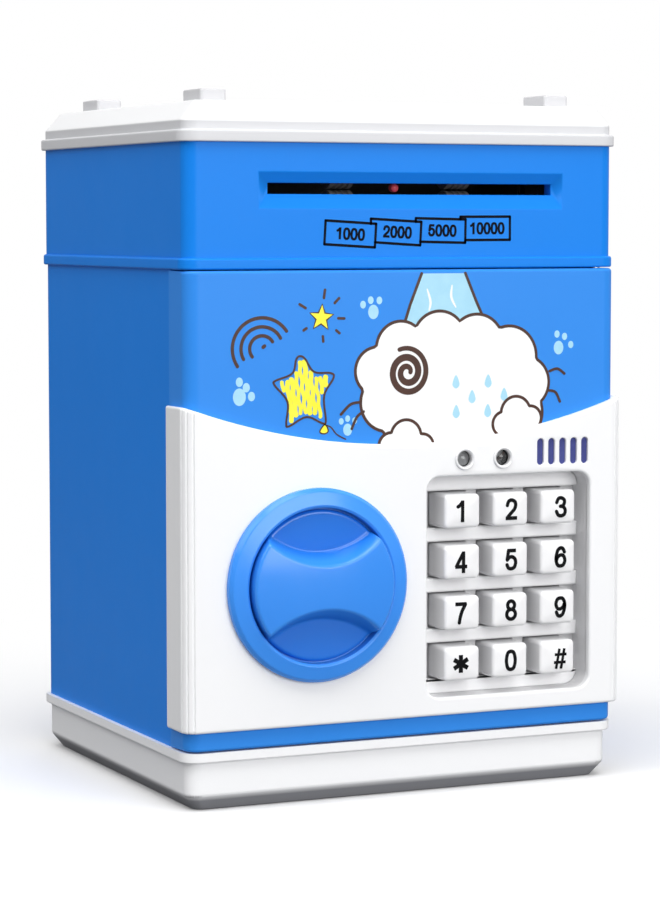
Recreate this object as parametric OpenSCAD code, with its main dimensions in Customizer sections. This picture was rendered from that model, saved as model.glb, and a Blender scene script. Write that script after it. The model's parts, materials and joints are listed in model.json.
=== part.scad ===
// Toy cash-machine savings bank: a safe with a hinged door, a keypad, a turning
// knob that throws a latch bolt, and a motor-driven note feeder under the lid.
// +X is right, -Y is the front, +Z is up. The origin is on the resting plane,
// under the centre of the body.

/* [Body] */
// Width of the upper housing, side to side
body_w = 130; // [128:1:134]
// Depth of the upper housing, front to back
body_d = 115; // [114:1:120]
// Radius of the upright corners
corner_r = 4; // [3.5:0.5:5]
// Wall thickness of the blue and white mouldings
wall = 2.2; // [1.8:0.1:2.4]
// Height of the white base
base_h = 16.1; // [16:0.1:18]
// Height of the blue body between the base and the flange above the door
body_h = 129.2; // [129:0.1:134]
// Height of the upper housing, flange included
housing_h = 33.85; // [33.5:0.05:36]
// Height of the lid, up to its flat top
lid_h = 11.05; // [10:0.05:12]
// Height of the four pads on the lid
pad_h = 3.4; // [2:0.1:4]

/* [Door] */
// Thickness of the door's front skin
door_t = 2.2; // [1.8:0.1:2.4]
// How far the door stands in front of the upper housing
door_proud = 1.3; // [1:0.1:1.6]
// Thickness of the white fascia on the door
fascia_t = 2; // [1.6:0.1:2.4]
// Height of the lowest point of the fascia's curved top edge
fascia_dip_z = 97.4; // [96:0.1:98]
// Radius of the fascia's curved top edge
fascia_arc_r = 194; // [180:1:220]
// Radius of the hinge pins
hinge_r = 1.5; // [1.2:0.1:1.7]

/* [Knob and lock] */
// Knob axis, left of the centre line
knob_x = -28.4; // [-30:0.1:-27]
// Knob axis, above the resting plane
knob_z = 60.2; // [58:0.1:62]
// Radius of the knob
knob_r = 20.6; // [19:0.1:21]
// Radius of the ring round the knob
bezel_r = 26.4; // [26:0.1:28]
// Throw of the latch bolt
bolt_travel = 8.5; // [8.5:0.1:8.6]

/* [Keypad] */
// Width of a key
key_w = 11.2; // [10:0.1:11.6]
// Height of a key
key_h = 9.6; // [9:0.1:10]
// Spacing of the key columns
key_pitch_x = 15.05; // [14.8:0.05:15.2]
// Spacing of the key rows
key_pitch_z = 14.15; // [14:0.05:14.3]
// Width of the sunk keypad
recess_w = 51.2; // [50:0.1:52]
// Height of the sunk keypad
recess_h = 61.4; // [60:0.1:62]
// Depth of the sunk keypad below the fascia
recess_depth = 10; // [9.6:0.1:10]

/* [Notes and coins] */
// Length of the note slot
slot_w = 86.2; // [85:0.1:90]
// Height of the note slot
slot_h = 3; // [2:0.1:4]
// Note slot, right of the centre line
slot_x = 2.6; // [2:0.1:4]
// Radius of the rubber feed rollers
roller_r = 5; // [4.8:0.1:5]
// Length of the coin slot in the lid
coin_slot_l = 34; // [30:1:35]
// Width of the coin slot in the lid
coin_slot_w = 3.6; // [3:0.1:4]

/* [Batteries] */
// Length of an AA cell
cell_l = 50.5; // [50:0.1:50.5]
// Diameter of an AA cell
cell_d = 14.5; // [14.2:0.1:14.5]

/* [Hidden] */
$fn = 64;
BLUE = [0.2, 0.54, 0.93];
WHITE = [0.96, 0.96, 0.97];
STEEL = [0.72, 0.73, 0.75];
BLACK = [0.12, 0.12, 0.13];
GREEN = [0.1, 0.4, 0.22];
GREY = [0.55, 0.56, 0.58];

KEY_NAMES = ["1", "2", "3", "4", "5", "6", "7", "8", "9", "star", "0", "hash"];

fit = 0.05;          // running clearance on a radius
gap = 0.4;           // clearance between bodies that move apart
body_z = base_h;
flange_z = body_z + body_h;
lid_z = flange_z + housing_h;
top_z = lid_z + lid_h;
plate_t = 2.2;       // floor of the base and of the upper housing
cut = 0.1;           // overshoot of a cutting solid

// Base
foot_h = 4.1;        // height of the sloping foot
foot_inset = 3.5;
base_inset = 0.5;
base_bead_z = 13.4;  // underside of the bead round the base
base_bead = 1;
base_cavity_inset = 3.2;
post_x = 56;
post_r = 3.8;
post_y = [-36, 47];
screw_r = 1.4;
head_r = 2.7;
bay_l = 58;
bay_w = 46;
bay_y = 28;
bay_wall = 1.6;
bay_roof_z = 17.6;
cover_t = 1.2;
cell_z = 2.6 + cell_d / 2;
cell_pitch = bay_w / 3;

// Lower body and door
shell_w = body_w - 0.64;
shell_d = body_d - 0.64;
shell_wall = 2.3;
door_front = -body_d / 2 - door_proud;
door_half_w = body_w / 2 + 0.3;
door_back = door_front + 12.6;
door_r = 4.2;
door_z = [body_z + gap, flange_z - 0.3];
jamb_y = door_back + gap;
jamb_t = 2;
jamb_w = 8.2;
hinge_x = body_w / 2 - 3.95;
hinge_y = door_front + 5.25;
door_hinge_back = hinge_y + 5.9;
swing_r = 7.7;       // radius kept clear round the hinge
liner_front = -47.8;
liner_t = 1.6;
liner_back = liner_front + liner_t;

// Fascia
fascia_front = door_front - fascia_t;
fascia_half_w = door_half_w + 1.5;
fascia_back = -47.5;
fascia_hinge_back = -49.2;
fascia_z = 21.8;
fascia_r = 4;
flute_r = 0.35;
led_x = [16.3, 28.25];
led_z = 92.8;
led_r = 1.85;
grille_x = 47.2;
grille_z = 94;
grille_pitch = 3.52;
grille_w = 2.1;
grille_h = 7.4;

// Keypad
keypad_x = 30.9;     // middle column of keys
keypad_z = 57.1;     // middle of the four rows
recess_x = 30.5;
recess_z = 57.4;
recess_r = 4;
tray_wall = 1.2;
tray_floor = fascia_front + recess_depth;
bar_h = 2.6;
key_back = tray_floor + 1.2;
key_flange = 0.8;
membrane_y = [-47.4, -46.9];
board_y = [-46.85, -46.1];
hump_y = -44.4;

// Knob, cam and bolt
shaft_r = 4;
knob_back = fascia_front - 0.8;
knob_dome = 8;       // middle of the grip in front of the fascia
knob_dome_r = 107;
grip_r = 27.2;       // radius of the two hollows that leave the grip
grip_offset = 33.1;
pit_floor = 2;
pit_slope = 0.86;    // hollow's radius lost for each millimetre of depth
cam_y = [liner_back + gap, liner_back + 3];
cam_r = 9.5;
crank_r = 6;
crank_pin_r = 2;
bolt_y = [-42.6, -39.8];
bolt_x = [-53.3, -4];
bolt_z = [knob_z + 0.5, knob_z + 10.5];
solenoid_x = -44;
plunger_r = 2;
plunger_y = -41.2;
plunger_z = [bolt_z[1] + 0.6, bolt_z[1] + 19.3];
notch_w = 5.2;
notch_d = 3.2;

// Upper housing and feeder
flange_h = 3.1;
flange_proud = 0.8;
slot_z = 166.9;
slot_depth = 2;       // of the bevelled frame
slot_wall = 5.6;      // thickness of the front wall round the slot
slot_frame_w = 92.2;
slot_frame_h = 9.9;
slot_frame_x = 2.2;
slot_frame_z = 166.4;
ceiling_z = flange_z + plate_t;
ceiling_t = 2;
deck_z = ceiling_z + ceiling_t;
mech_x = 5;
cheek_x = [-40, 48]; // left faces of the feeder's two cheeks
cheek_t = 2;
drive_y = -40;
drive_z = 161.7;
idler_r = 4.6;
idler_z = drive_z + roller_r + gap + idler_r;
feeder_shaft_r = 1.5;
roller_w = 7;
roller_offset = 18;
gear_module = 0.7;
gear_teeth = 30;
pinion_teeth = 10;
gear_x = [-46, -43];
motor_y = -27;
motor_z = 156.5;
mesh_angle = atan2(motor_z - drive_z, motor_y - drive_y); // direction from gear to pinion
guide_y = -33.5;     // mouth of the guide, behind the rollers
guide_bend_y = -16;  // where it bends down, and the height of the bend's centre
guide_z = 150.2;
guide_r = 15;        // bend of the lower guide
guide_gap = 5;
guide_t = 1.2;
coin_y = 30;
chute_in = 5;

// Lid
lid_bead_h = 3.15;
lid_bead = 1.26;
lid_band_z = 184.9;
bevel_inset = 4.5;
lug_x = 57.5;
lug_y = 50;
lug_z = 170;
pad_w = 7.9;
pad_d = 14;
pad_x = 52.3;
pad_y = 40;

// ---- shared shapes ----

// Solid between two limits on each axis
module block(x, y, z)
    translate([x[0], y[0], z[0]]) cube([x[1] - x[0], y[1] - y[0], z[1] - z[0]]);

// Rectangle with round corners about the origin
module round_rect(w, d, r, fn = 64) {
    square([w - 2 * r, d], center = true);
    square([w, d - 2 * r], center = true);
    for (x = [-1, 1], y = [-1, 1])
        translate([x * (w / 2 - r), y * (d / 2 - r)]) circle(r, $fn = fn);
}

// Thin slice of a round rectangle, for hulls
module slice(w, d, r, z)
    translate([0, 0, z]) linear_extrude(0.01) round_rect(w, d, r, 32);

module rod_x(y, z, r, x) translate([x[0], y, z]) rotate([0, 90, 0]) cylinder(r = r, h = x[1] - x[0]);
module rod_y(x, z, r, y) translate([x, y[0], z]) rotate([-90, 0, 0]) cylinder(r = r, h = y[1] - y[0]);
module rod_z(x, y, r, z) translate([x, y, z[0]]) cylinder(r = r, h = z[1] - z[0]);

// Extrudes a front-view outline (X, Z) between two depths
module front_plate(y)
    translate([0, y[1], 0]) rotate([90, 0, 0]) linear_extrude(y[1] - y[0]) children();
// Extrudes a side-view outline (Y, Z) between two widths
module side_plate(x)
    translate([x[0], 0, 0]) rotate([90, 0, 90]) linear_extrude(x[1] - x[0]) children();

// Screw along +Z with its head at the bottom
module screw(length, r = screw_r, head = head_r) {
    cylinder(r = r, h = length);
    difference() {
        translate([0, 0, -1.6]) cylinder(r = head, h = 1.6);
        for (a = [0, 90])
            translate([0, 0, -1.6]) rotate(a) cube([head * 1.3, 0.6, 1.6], center = true);
    }
}

// Four corner posts' places
module at_posts() for (x = [-1, 1], y = post_y) translate([x * post_x, y, 0]) children();

// Spur gear with involute flanks, thinned for backlash
function involute(base, t) = let (arc = t * PI / 180)
    [base * (cos(t) + arc * sin(t)), base * (sin(t) - arc * cos(t))];
function turn(p, a) = [p[0] * cos(a) - p[1] * sin(a), p[0] * sin(a) + p[1] * cos(a)];
function roll_at(base, r) = sqrt(max(0, r * r / (base * base) - 1)) * 180 / PI;
function tooth(base, root, tip, half) = concat(
    [turn([root, 0], -half)],
    [for (i = [0:4]) turn(involute(base, roll_at(base, base + (tip - base) * i / 4)), -half)],
    [for (i = [4:-1:0]) let (p = involute(base, roll_at(base, base + (tip - base) * i / 4)))
        turn([p[0], -p[1]], half)],
    [turn([root, 0], half)]);
module gear_outline(teeth, phase) {
    pitch = gear_module * teeth / 2;
    base = pitch * cos(20);
    root = min(base, pitch) - 0.95;
    flank = roll_at(base, pitch) - atan(roll_at(base, pitch) * PI / 180);
    half = 90 / teeth + flank - 4.2 / pitch;
    tip = pitch + gear_module * 0.75;
    polygon([for (k = [0:teeth - 1]) for (p = tooth(base, root, tip, half))
        turn(p, k * 360 / teeth + phase)]);
}

// ---- base and power ----

module base_tray() color(WHITE) difference() {
    union() {
        difference() {
            union() {
                hull() {
                    slice(body_w - 2 * foot_inset, body_d - 2 * foot_inset, 3, 0);
                    slice(body_w - 2 * base_inset, body_d - 2 * base_inset, corner_r, foot_h);
                }
                translate([0, 0, foot_h]) linear_extrude(base_bead_z - foot_h)
                    round_rect(body_w - 2 * base_inset, body_d - 2 * base_inset, corner_r);
                translate([0, 0, base_bead_z]) linear_extrude(base_h - base_bead_z)
                    round_rect(body_w + 2 * base_bead, body_d + 2 * base_bead, corner_r + 1);
            }
            translate([0, 0, plate_t]) linear_extrude(base_h)
                round_rect(body_w - 2 * base_cavity_inset, body_d - 2 * base_cavity_inset, 2);
        }
        block([-bay_l / 2 - bay_wall, bay_l / 2 + bay_wall],
              [bay_y - bay_w / 2 - bay_wall, bay_y + bay_w / 2 + bay_wall], [0.5, bay_roof_z + bay_wall]);
        at_posts() rod_z(0, 0, post_r, [1, base_h]);
        rod_z(hinge_x, hinge_y, 3, [5, base_h]);
    }
    block([-bay_l / 2, bay_l / 2], [bay_y - bay_w / 2, bay_y + bay_w / 2], [-cut, bay_roof_z]);
    block([-bay_l / 2 - 1.3, bay_l / 2 + 1.3],
          [bay_y - bay_w / 2 - 1.3, bay_y + bay_w / 2 + 1.3], [-cut, cover_t]);
    at_posts() {
        rod_z(0, 0, screw_r + fit, [0, base_h + cut]);
        rod_z(0, 0, head_r + 0.3, [-cut, 3.5]);
    }
    rod_z(hinge_x, hinge_y, hinge_r + fit, [7.7, base_h + cut]);
}

module aa_cells() color("goldenrod") for (i = [-1:1])
    translate([(i == 0 ? -1 : 1) * cell_l / 2, bay_y + i * cell_pitch, cell_z])
        rotate([0, i == 0 ? 90 : -90, 0]) rotate_extrude()
            polygon([[0, 0], [4.5, 0], [4.5, 0.3], [cell_d / 2 - 0.6, 0.3], [cell_d / 2, 0.9],
                [cell_d / 2, cell_l - 2.1], [cell_d / 2 - 0.6, cell_l - 1.5], [2.7, cell_l - 1.5],
                [2.7, cell_l], [0, cell_l]]);

// Plate at each end of each cell, with a spring at one end and a button at the other
module battery_contacts() color(STEEL) {
    reach = (bay_l - cell_l) / 2;
    for (i = [-1:1], s = [-1, 1])
        translate([s * bay_l / 2, bay_y + i * cell_pitch, cell_z]) rotate([0, -90 * s, 0]) {
            sprung = (i == 0 ? -s : s) > 0;
            translate([-5.5, -5, 0]) cube([11, 10, 0.4]);
            if (sprung) rotate_extrude() polygon([[0, 0.4], [5, 0.4], [5.4, 1], [4.4, 1.5],
                [4.8, 2], [3.8, 2.6], [4.1, 3.1], [3.4, reach], [0, reach]]);
            else cylinder(r1 = 4, r2 = 2.2, h = reach);
        }
}

module battery_cover() color(WHITE) difference() {
    union() {
        block([-bay_l / 2 - 1.1, bay_l / 2 + 1.1],
              [bay_y - bay_w / 2 - 1.1, bay_y + bay_w / 2 + 1.1], [0, cover_t]);
        // ribs under the cells
        for (x = [-15, 15])
            block([x - 0.8, x + 0.8], [bay_y - bay_w / 2 + gap, bay_y + bay_w / 2 - gap],
                  [cover_t, cell_z - cell_d / 2 - cut]);
    }
    // finger grooves
    for (x = [-1:1]) rod_y(x * 3, -0.3, 0.8, [bay_y - bay_w / 2 + 1, bay_y - bay_w / 2 + 9]);
}

module base_screws() color(STEEL) at_posts() translate([0, 0, 3.5]) screw(20);

// ---- lower body ----

module shell_plan() difference() {
    union() {
        difference() {
            round_rect(shell_w, shell_d, corner_r);
            round_rect(shell_w - 2 * shell_wall, shell_d - 2 * shell_wall, corner_r - 2);
            translate([-body_w, jamb_y - body_d]) square([2 * body_w, body_d]);
        }
        translate([-shell_w / 2, jamb_y]) square([jamb_w, jamb_t]);
        translate([hinge_x, jamb_y - 1.6]) square([shell_w / 2 - hinge_x, 6]);
    }
    translate([hinge_x, hinge_y]) circle(swing_r);
}

// Screw boss with the web that ties it to the side wall
module boss(z) for (x = [-1, 1], y = post_y) {
    rod_z(x * post_x, y, post_r - 0.4, z);
    block(x < 0 ? [-shell_w / 2 + 1, -post_x] : [post_x, shell_w / 2 - 1], [y - 1, y + 1], z);
}

module body_shell() color(BLUE) difference() {
    union() {
        translate([0, 0, body_z]) linear_extrude(body_h) shell_plan();
        boss([body_z, body_z + 10]);
        boss([flange_z - 12, flange_z]);
    }
    at_posts() {
        rod_z(0, 0, screw_r, [body_z - cut, body_z + 8]);
        rod_z(0, 0, screw_r + fit, [flange_z - 13, flange_z + cut]);
    }
}

module bolt_keeper() color(STEEL) difference() {
    block([-shell_w / 2 + shell_wall, -57], [jamb_y + jamb_t, -38], [bolt_z[0] - 2, bolt_z[1] + 2]);
    block([-62, -57 + cut], [bolt_y[0] - gap, bolt_y[1] + gap], [bolt_z[0] - gap, bolt_z[1] + gap]);
}

// Channel up the rear left corner that hides the battery wires
module wire_cover() color(BLUE) difference() {
    block([-shell_w / 2 + shell_wall, -51.5], [49.5, shell_d / 2 - shell_wall], [28, flange_z - 15]);
    block([-shell_w / 2 + shell_wall - cut, -53], [51, shell_d / 2 - shell_wall + cut],
          [28 - cut, flange_z]);
}

// ---- upper housing ----

module upper_housing() color(BLUE) difference() {
    union() {
        difference() {
            union() {
                translate([0, 0, flange_z]) linear_extrude(flange_h)
                    round_rect(body_w + 2 * flange_proud, body_d + 2 * flange_proud,
                               corner_r + flange_proud);
                translate([0, 0, flange_z]) linear_extrude(housing_h)
                    round_rect(body_w, body_d, corner_r);
            }
            translate([0, 0, ceiling_z]) linear_extrude(housing_h)
                round_rect(body_w - 2 * wall, body_d - 2 * wall, corner_r - 2);
        }
        // thicker wall round the note slot
        block([slot_frame_x - slot_frame_w / 2 - 1, slot_frame_x + slot_frame_w / 2 + 1],
              [-body_d / 2 + 1, -body_d / 2 + slot_wall], [slot_z - 7, slot_z + 7]);
        at_posts() rod_z(0, 0, post_r, [flange_z, flange_z + 18]);
        rod_z(hinge_x, hinge_y, 3, [flange_z, flange_z + 7]);
        for (x = [-1, 1], y = [-1, 1]) {
            rod_z(x * lug_x, y * lug_y, 3.4, [lug_z, lug_z + 3]);
            block(x < 0 ? [-body_w / 2 + 1, -lug_x] : [lug_x, body_w / 2 - 1],
                  [y * lug_y - 3, y * lug_y + 3], [lug_z, lug_z + 3]);
        }
    }
    // opening in the floor, under the note feeder
    block([-51, 51], [-45, 46], [flange_z - cut, ceiling_z + cut]);
    // note slot in its bevelled frame
    front_plate([-body_d / 2, -body_d / 2 + slot_wall + cut])
        translate([slot_x, slot_z]) square([slot_w, slot_h], center = true);
    hull() {
        front_plate([-body_d / 2 - cut, -body_d / 2]) translate([slot_frame_x, slot_frame_z])
            square([slot_frame_w, slot_frame_h], center = true);
        front_plate([-body_d / 2 + slot_depth, -body_d / 2 + slot_depth + 0.01]) translate([slot_x, slot_z])
            square([slot_w, slot_h], center = true);
    }
    at_posts() rod_z(0, 0, screw_r, [flange_z - cut, flange_z + 16]);
    rod_z(hinge_x, hinge_y, hinge_r + fit, [flange_z - cut, flange_z + 6]);
    for (x = [-1, 1], y = [-1, 1]) rod_z(x * lug_x, y * lug_y, screw_r + fit, [lug_z - 1, lug_z + 4]);
}

module housing_screws() color(STEEL) at_posts() translate([0, 0, flange_z - 12]) screw(27);

module vault_ceiling() color(BLUE) difference() {
    block([-52, 52], [-47, 50], [ceiling_z, deck_z]);
    // way out for notes, then for coins
    block([cheek_x[0] + cheek_t + 1, cheek_x[1] - 1], [-3, 7], [ceiling_z - cut, deck_z + cut]);
    block([-coin_slot_l / 2 - 1, coin_slot_l / 2 + 1], [coin_y - chute_in / 2, coin_y + chute_in / 2],
          [ceiling_z - cut, deck_z + cut]);
    for (x = [-post_x, post_x], y = post_y) rod_z(x, y, post_r + gap, [ceiling_z - cut, deck_z + cut]);
}

// ---- note feeder ----

module cheek_outline() difference() {
    union() {
        translate([-49, deck_z]) square([34, 4]);
        translate([drive_y, drive_z]) circle(4.5);
        translate([drive_y, idler_z]) circle(4);
        translate([motor_y, motor_z]) circle(5);
        translate([drive_y - 4, deck_z]) square([8, idler_z - deck_z]);
        translate([drive_y, deck_z]) square([motor_y - drive_y + 5, motor_z - deck_z]);
    }
    translate([drive_y, drive_z]) circle(feeder_shaft_r + fit);
    translate([drive_y, idler_z]) circle(feeder_shaft_r + fit);
    translate([motor_y, motor_z]) circle(2);
}

module feeder_frame() color(GREY) {
    for (x = cheek_x) side_plate([x, x + cheek_t]) cheek_outline();
    block([cheek_x[0] + 1, cheek_x[1] + 1], [-49, -46], [deck_z, deck_z + 3]);
    block([cheek_x[0] + 1, cheek_x[1] + 1], [-19, -15], [deck_z, deck_z + 3]);
}

module drive_shaft() color(STEEL)
    rod_x(drive_y, drive_z, feeder_shaft_r, [gear_x[0] - 0.5, cheek_x[1] + 3.5]);
module idler_shaft() color(STEEL)
    rod_x(drive_y, idler_z, feeder_shaft_r, [cheek_x[0] - 1, cheek_x[1] + 3]);

// A pair of ribbed rubber rollers on one shaft
module rollers(z, r) color(BLACK) for (s = [-1, 1])
    translate([mech_x + s * roller_offset - roller_w / 2, drive_y, z]) rotate([0, 90, 0])
        rotate_extrude() difference() {
            translate([feeder_shaft_r, 0]) square([r - feeder_shaft_r, roller_w]);
            for (i = [1:3]) translate([r + 0.2, i * roller_w / 4]) circle(0.6, $fn = 24);
        }
module drive_rollers() rollers(drive_z, roller_r);
module idler_rollers() rollers(idler_z, idler_r);

module drive_gear() color(WHITE) side_plate(gear_x) translate([drive_y, drive_z]) difference() {
    gear_outline(gear_teeth, mesh_angle);
    circle(feeder_shaft_r);
    for (a = [0:72:359]) rotate(a) translate([5.8, 0]) circle(1.8);
}

module motor_pinion() color("gold") {
    side_plate(gear_x) translate([motor_y, motor_z])
        gear_outline(pinion_teeth, mesh_angle + 180 + 180 / pinion_teeth);
    rod_x(motor_y, motor_z, 1, [gear_x[1] - cut, -33]);
}

module feed_motor() color(STEEL) difference() {
    union() {
        block([cheek_x[0] + cheek_t, -29], [motor_y - 6, motor_y + 6], [motor_z - 5, motor_z + 5]);
        intersection() {
            rod_x(motor_y, motor_z, 6, [-29, -14]);
            block([-29, -14], [motor_y - 6, motor_y + 6], [motor_z - 5, motor_z + 5]);
        }
        rod_x(motor_y, motor_z, 2, [-14, -12.5]);
    }
    rod_x(motor_y, motor_z, 1 + fit, [cheek_x[0], -32.5]);
}

// Outline of a bent guide sheet with outer radius r: level behind the rollers, then down
module guide_sheet(r, t) translate([guide_bend_y, guide_z]) {
    translate([guide_y - guide_bend_y, r - t]) square([guide_bend_y - guide_y, t]);
    intersection() {
        difference() {
            circle(r);
            circle(r - t);
        }
        square(r + 1);
    }
}

module note_guide() color(GREY) {
    inside = [cheek_x[0] + cheek_t, cheek_x[1]];
    side_plate(inside) guide_sheet(guide_r, guide_t);
    side_plate(inside) guide_sheet(guide_r + guide_gap + guide_t, guide_t);
    for (x = [inside[0], inside[1] - 1]) side_plate([x, x + 1]) {
        difference() {
            guide_sheet(guide_r + guide_gap + guide_t, guide_gap + 2 * guide_t);
            translate([0, -cut]) square([10, deck_z]);
        }
        translate([-14, deck_z]) square([12, 6]);
    }
}

module note_sensor() {
    color(BLACK) block([mech_x - 10, mech_x - 2], [-50.5, -47], [slot_z + slot_h / 2 + 0.7, slot_z + 7]);
    color(BLACK) block([mech_x - 10, mech_x - 2], [-51.9, -50.5], [slot_z + 4, slot_z + 7]);
    color("darkred") translate([mech_x - 6, -48.8, slot_z + slot_h / 2 + 0.7]) sphere(1.1);
}

module coin_chute() color(BLUE) difference() {
    union() {
        block([-coin_slot_l / 2 - 2.5, coin_slot_l / 2 + 2.5],
              [coin_y - chute_in / 2 - 1.5, coin_y + chute_in / 2 + 1.5], [deck_z, top_z - plate_t]);
        block([-coin_slot_l / 2 - 6, coin_slot_l / 2 + 6], [coin_y - 7, coin_y + 7],
              [deck_z, deck_z + 1.5]);
    }
    block([-coin_slot_l / 2 - 1, coin_slot_l / 2 + 1], [coin_y - chute_in / 2, coin_y + chute_in / 2],
          [deck_z - cut, top_z]);
}

module main_board() {
    color(GREEN) block([-48, -26], [8, 46], [deck_z + 3, deck_z + 4.6]);
    color(BLACK) {
        block([-43, -33], [13, 21], [deck_z + 4.6, deck_z + 6.4]);
        block([-44, -39], [24, 31], [deck_z + 4.6, deck_z + 6]);
        rod_z(-33, 24, 3, [deck_z + 4.6, deck_z + 12]);
        rod_z(-33, 33, 2.5, [deck_z + 4.6, deck_z + 10]);
    }
    color(WHITE) block([-46, -42], [34, 43], [deck_z + 4.6, deck_z + 9]);
    color(BLUE) for (x = [-45.5, -28.5], y = [10.5, 43.5]) rod_z(x, y, 2, [deck_z, deck_z + 3]);
}

// ---- lid ----

module top_lid() color(WHITE) difference() {
    union() {
        difference() {
            union() {
                translate([0, 0, lid_z]) linear_extrude(lid_bead_h)
                    round_rect(body_w + 2 * lid_bead, body_d + 2 * lid_bead, corner_r + lid_bead);
                translate([0, 0, lid_z]) linear_extrude(lid_band_z - lid_z)
                    round_rect(body_w, body_d, corner_r);
                hull() {
                    slice(body_w, body_d, corner_r, lid_band_z - 0.01);
                    slice(body_w - 2 * bevel_inset, body_d - 2 * bevel_inset, corner_r - 1, top_z - 0.01);
                }
            }
            hull() {
                slice(body_w - 2 * wall, body_d - 2 * wall, 2, lid_z - cut);
                slice(body_w - 2 * wall, body_d - 2 * wall, 2, lid_band_z - 1);
                slice(body_w - 2 * wall - 2 * bevel_inset, body_d - 2 * wall - 2 * bevel_inset, 2,
                      top_z - plate_t);
            }
        }
        for (x = [-1, 1], y = [-1, 1]) rod_z(x * lug_x, y * lug_y, 3, [lug_z + 3, top_z - 4]);
    }
    block([-coin_slot_l / 2, coin_slot_l / 2], [coin_y - coin_slot_w / 2, coin_y + coin_slot_w / 2],
          [top_z - 4, top_z + cut]);
    for (x = [-1, 1], y = [-1, 1]) {
        rod_z(x * lug_x, y * lug_y, screw_r, [lug_z + 2, lug_z + 12]);
        rod_z(x * pad_x, y * pad_y, 1.5, [top_z - plate_t - cut, top_z + cut]);
    }
}

module lid_pads() color(WHITE) for (x = [-1, 1], y = [-1, 1]) translate([x * pad_x, y * pad_y, 0]) {
    translate([0, 0, top_z]) linear_extrude(pad_h) round_rect(pad_w, pad_d, 1);
    rod_z(0, 0, 1.5, [top_z - plate_t - 1, top_z]);
}

module lid_screws() color(STEEL) for (x = [-1, 1], y = [-1, 1])
    translate([x * lug_x, y * lug_y, lug_z]) screw(11);

// ---- door ----

// Round-cornered outline of the door from above, less what would catch on the shell as it swings
module door_outline(half_w, front, r, side_back, hinge_back) difference() {
    union() {
        translate([-half_w, front + r]) square([2 * half_w, side_back - front - r]);
        translate([-half_w + r, front]) square([2 * (half_w - r), r]);
        for (s = [-1, 1]) translate([s * (half_w - r), front + r]) circle(r);
    }
    translate([hinge_x, hinge_back]) square([half_w, body_d]);
}

module door_screw_places() for (p = [[-51, 27], [-51, 134], [-2, 134], [50, 134], [-2, 28]])
    translate([p[0], 0, p[1]]) children();

module grille_slots(w, h) for (i = [-2:2]) translate([grille_x + i * grille_pitch, grille_z]) {
    square([w, h - w], center = true);
    for (s = [-1, 1]) translate([0, s * (h - w) / 2]) circle(w / 2);
}

module recess_outline(grow) translate([recess_x, recess_z])
    round_rect(recess_w + 2 * grow, recess_h + 2 * grow, recess_r + grow);

module door_panel() color(BLUE) difference() {
    union() {
        difference() {
            translate([0, 0, door_z[0]]) linear_extrude(door_z[1] - door_z[0])
                door_outline(door_half_w, door_front, door_r, door_back, door_hinge_back);
            translate([0, 0, door_z[0] + door_t]) linear_extrude(door_z[1] - door_z[0] - 2 * door_t)
                door_outline(door_half_w - door_t, door_front + door_t, door_r - 2, body_d, body_d);
        }
        for (z = [[door_z[0] + 1, door_z[0] + 13.5], [door_z[1] - 13.5, door_z[1] - 1]])
            rod_z(hinge_x, hinge_y, 3.4, z);
        door_screw_places() rod_y(0, 0, 3, [door_front + 1, liner_front]);
        rod_y(knob_x, knob_z, 7, [door_front + 1, liner_front - 1]);
    }
    rod_z(hinge_x, hinge_y, hinge_r, [door_z[0] - cut, door_z[0] + 13.5]);
    rod_z(hinge_x, hinge_y, hinge_r, [door_z[1] - 13.5, door_z[1] + cut]);
    rod_y(knob_x, knob_z, shaft_r + fit, [door_front - cut, liner_front]);
    front_plate([door_front - cut, door_front + door_t + cut]) {
        recess_outline(tray_wall);
        grille_slots(grille_w, grille_h);
        for (x = led_x) translate([x, led_z]) circle(2.75);
    }
    door_screw_places() rod_y(0, 0, screw_r, [door_front + door_t + 1, liner_front + cut]);
}

module fascia() color(WHITE) difference() {
    translate([0, 0, fascia_z]) linear_extrude(fascia_dip_z + 20 - fascia_z)
        door_outline(fascia_half_w, fascia_front, fascia_r, fascia_back, fascia_hinge_back);
    translate([0, 0, fascia_z - cut]) linear_extrude(120)
        door_outline(door_half_w, door_front, door_r, body_d, body_d);
    rod_y(0, fascia_dip_z + fascia_arc_r, fascia_arc_r, [fascia_front - 1, 0], $fn = 256);
    front_plate([fascia_front - cut, door_front + cut]) {
        recess_outline(0);
        grille_slots(grille_w, grille_h);
        for (x = led_x) translate([x, led_z]) circle(2.75);
        translate([knob_x, knob_z]) circle(shaft_r + 0.5);
    }
    // fine flutes down the two front corners
    for (s = [-1, 1], a = [20, 45, 70])
        rod_z(s * (fascia_half_w - fascia_r + fascia_r * cos(a)),
              fascia_front + fascia_r - fascia_r * sin(a), flute_r, [fascia_z - 1, fascia_dip_z + 21]);
}

module knob_bezel() color(BLUE) translate([knob_x, fascia_front, knob_z]) rotate([90, 0, 0])
    rotate_extrude() polygon([[shaft_r + 0.5, 0], [bezel_r, 0], [bezel_r, 1.4], [bezel_r - 0.7, 2.1],
        [bezel_r - 1.7, 2.8], [bezel_r - 2.9, 3.4], [bezel_r - 4, 3.6], [knob_r + 0.9, 3.3],
        [knob_r + 0.6, 2.8], [knob_r + 0.6, 0.4], [shaft_r + 0.5, 0.4]]);

module keypad_frame() color(WHITE) difference() {
    front_plate([door_front, tray_floor + 1]) recess_outline(tray_wall);
    front_plate([door_front - cut, tray_floor + 1 + cut]) recess_outline(0);
}

// Floor of the recess, with a hole for each key
module keypad_plate() color(WHITE) difference() {
    front_plate([tray_floor, tray_floor + 1]) recess_outline(0);
    for (i = [0:11]) at_key(i) front_plate([tray_floor - cut, tray_floor + 1 + cut])
        square([key_w + 0.6, key_h + 0.6], center = true);
}

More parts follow.
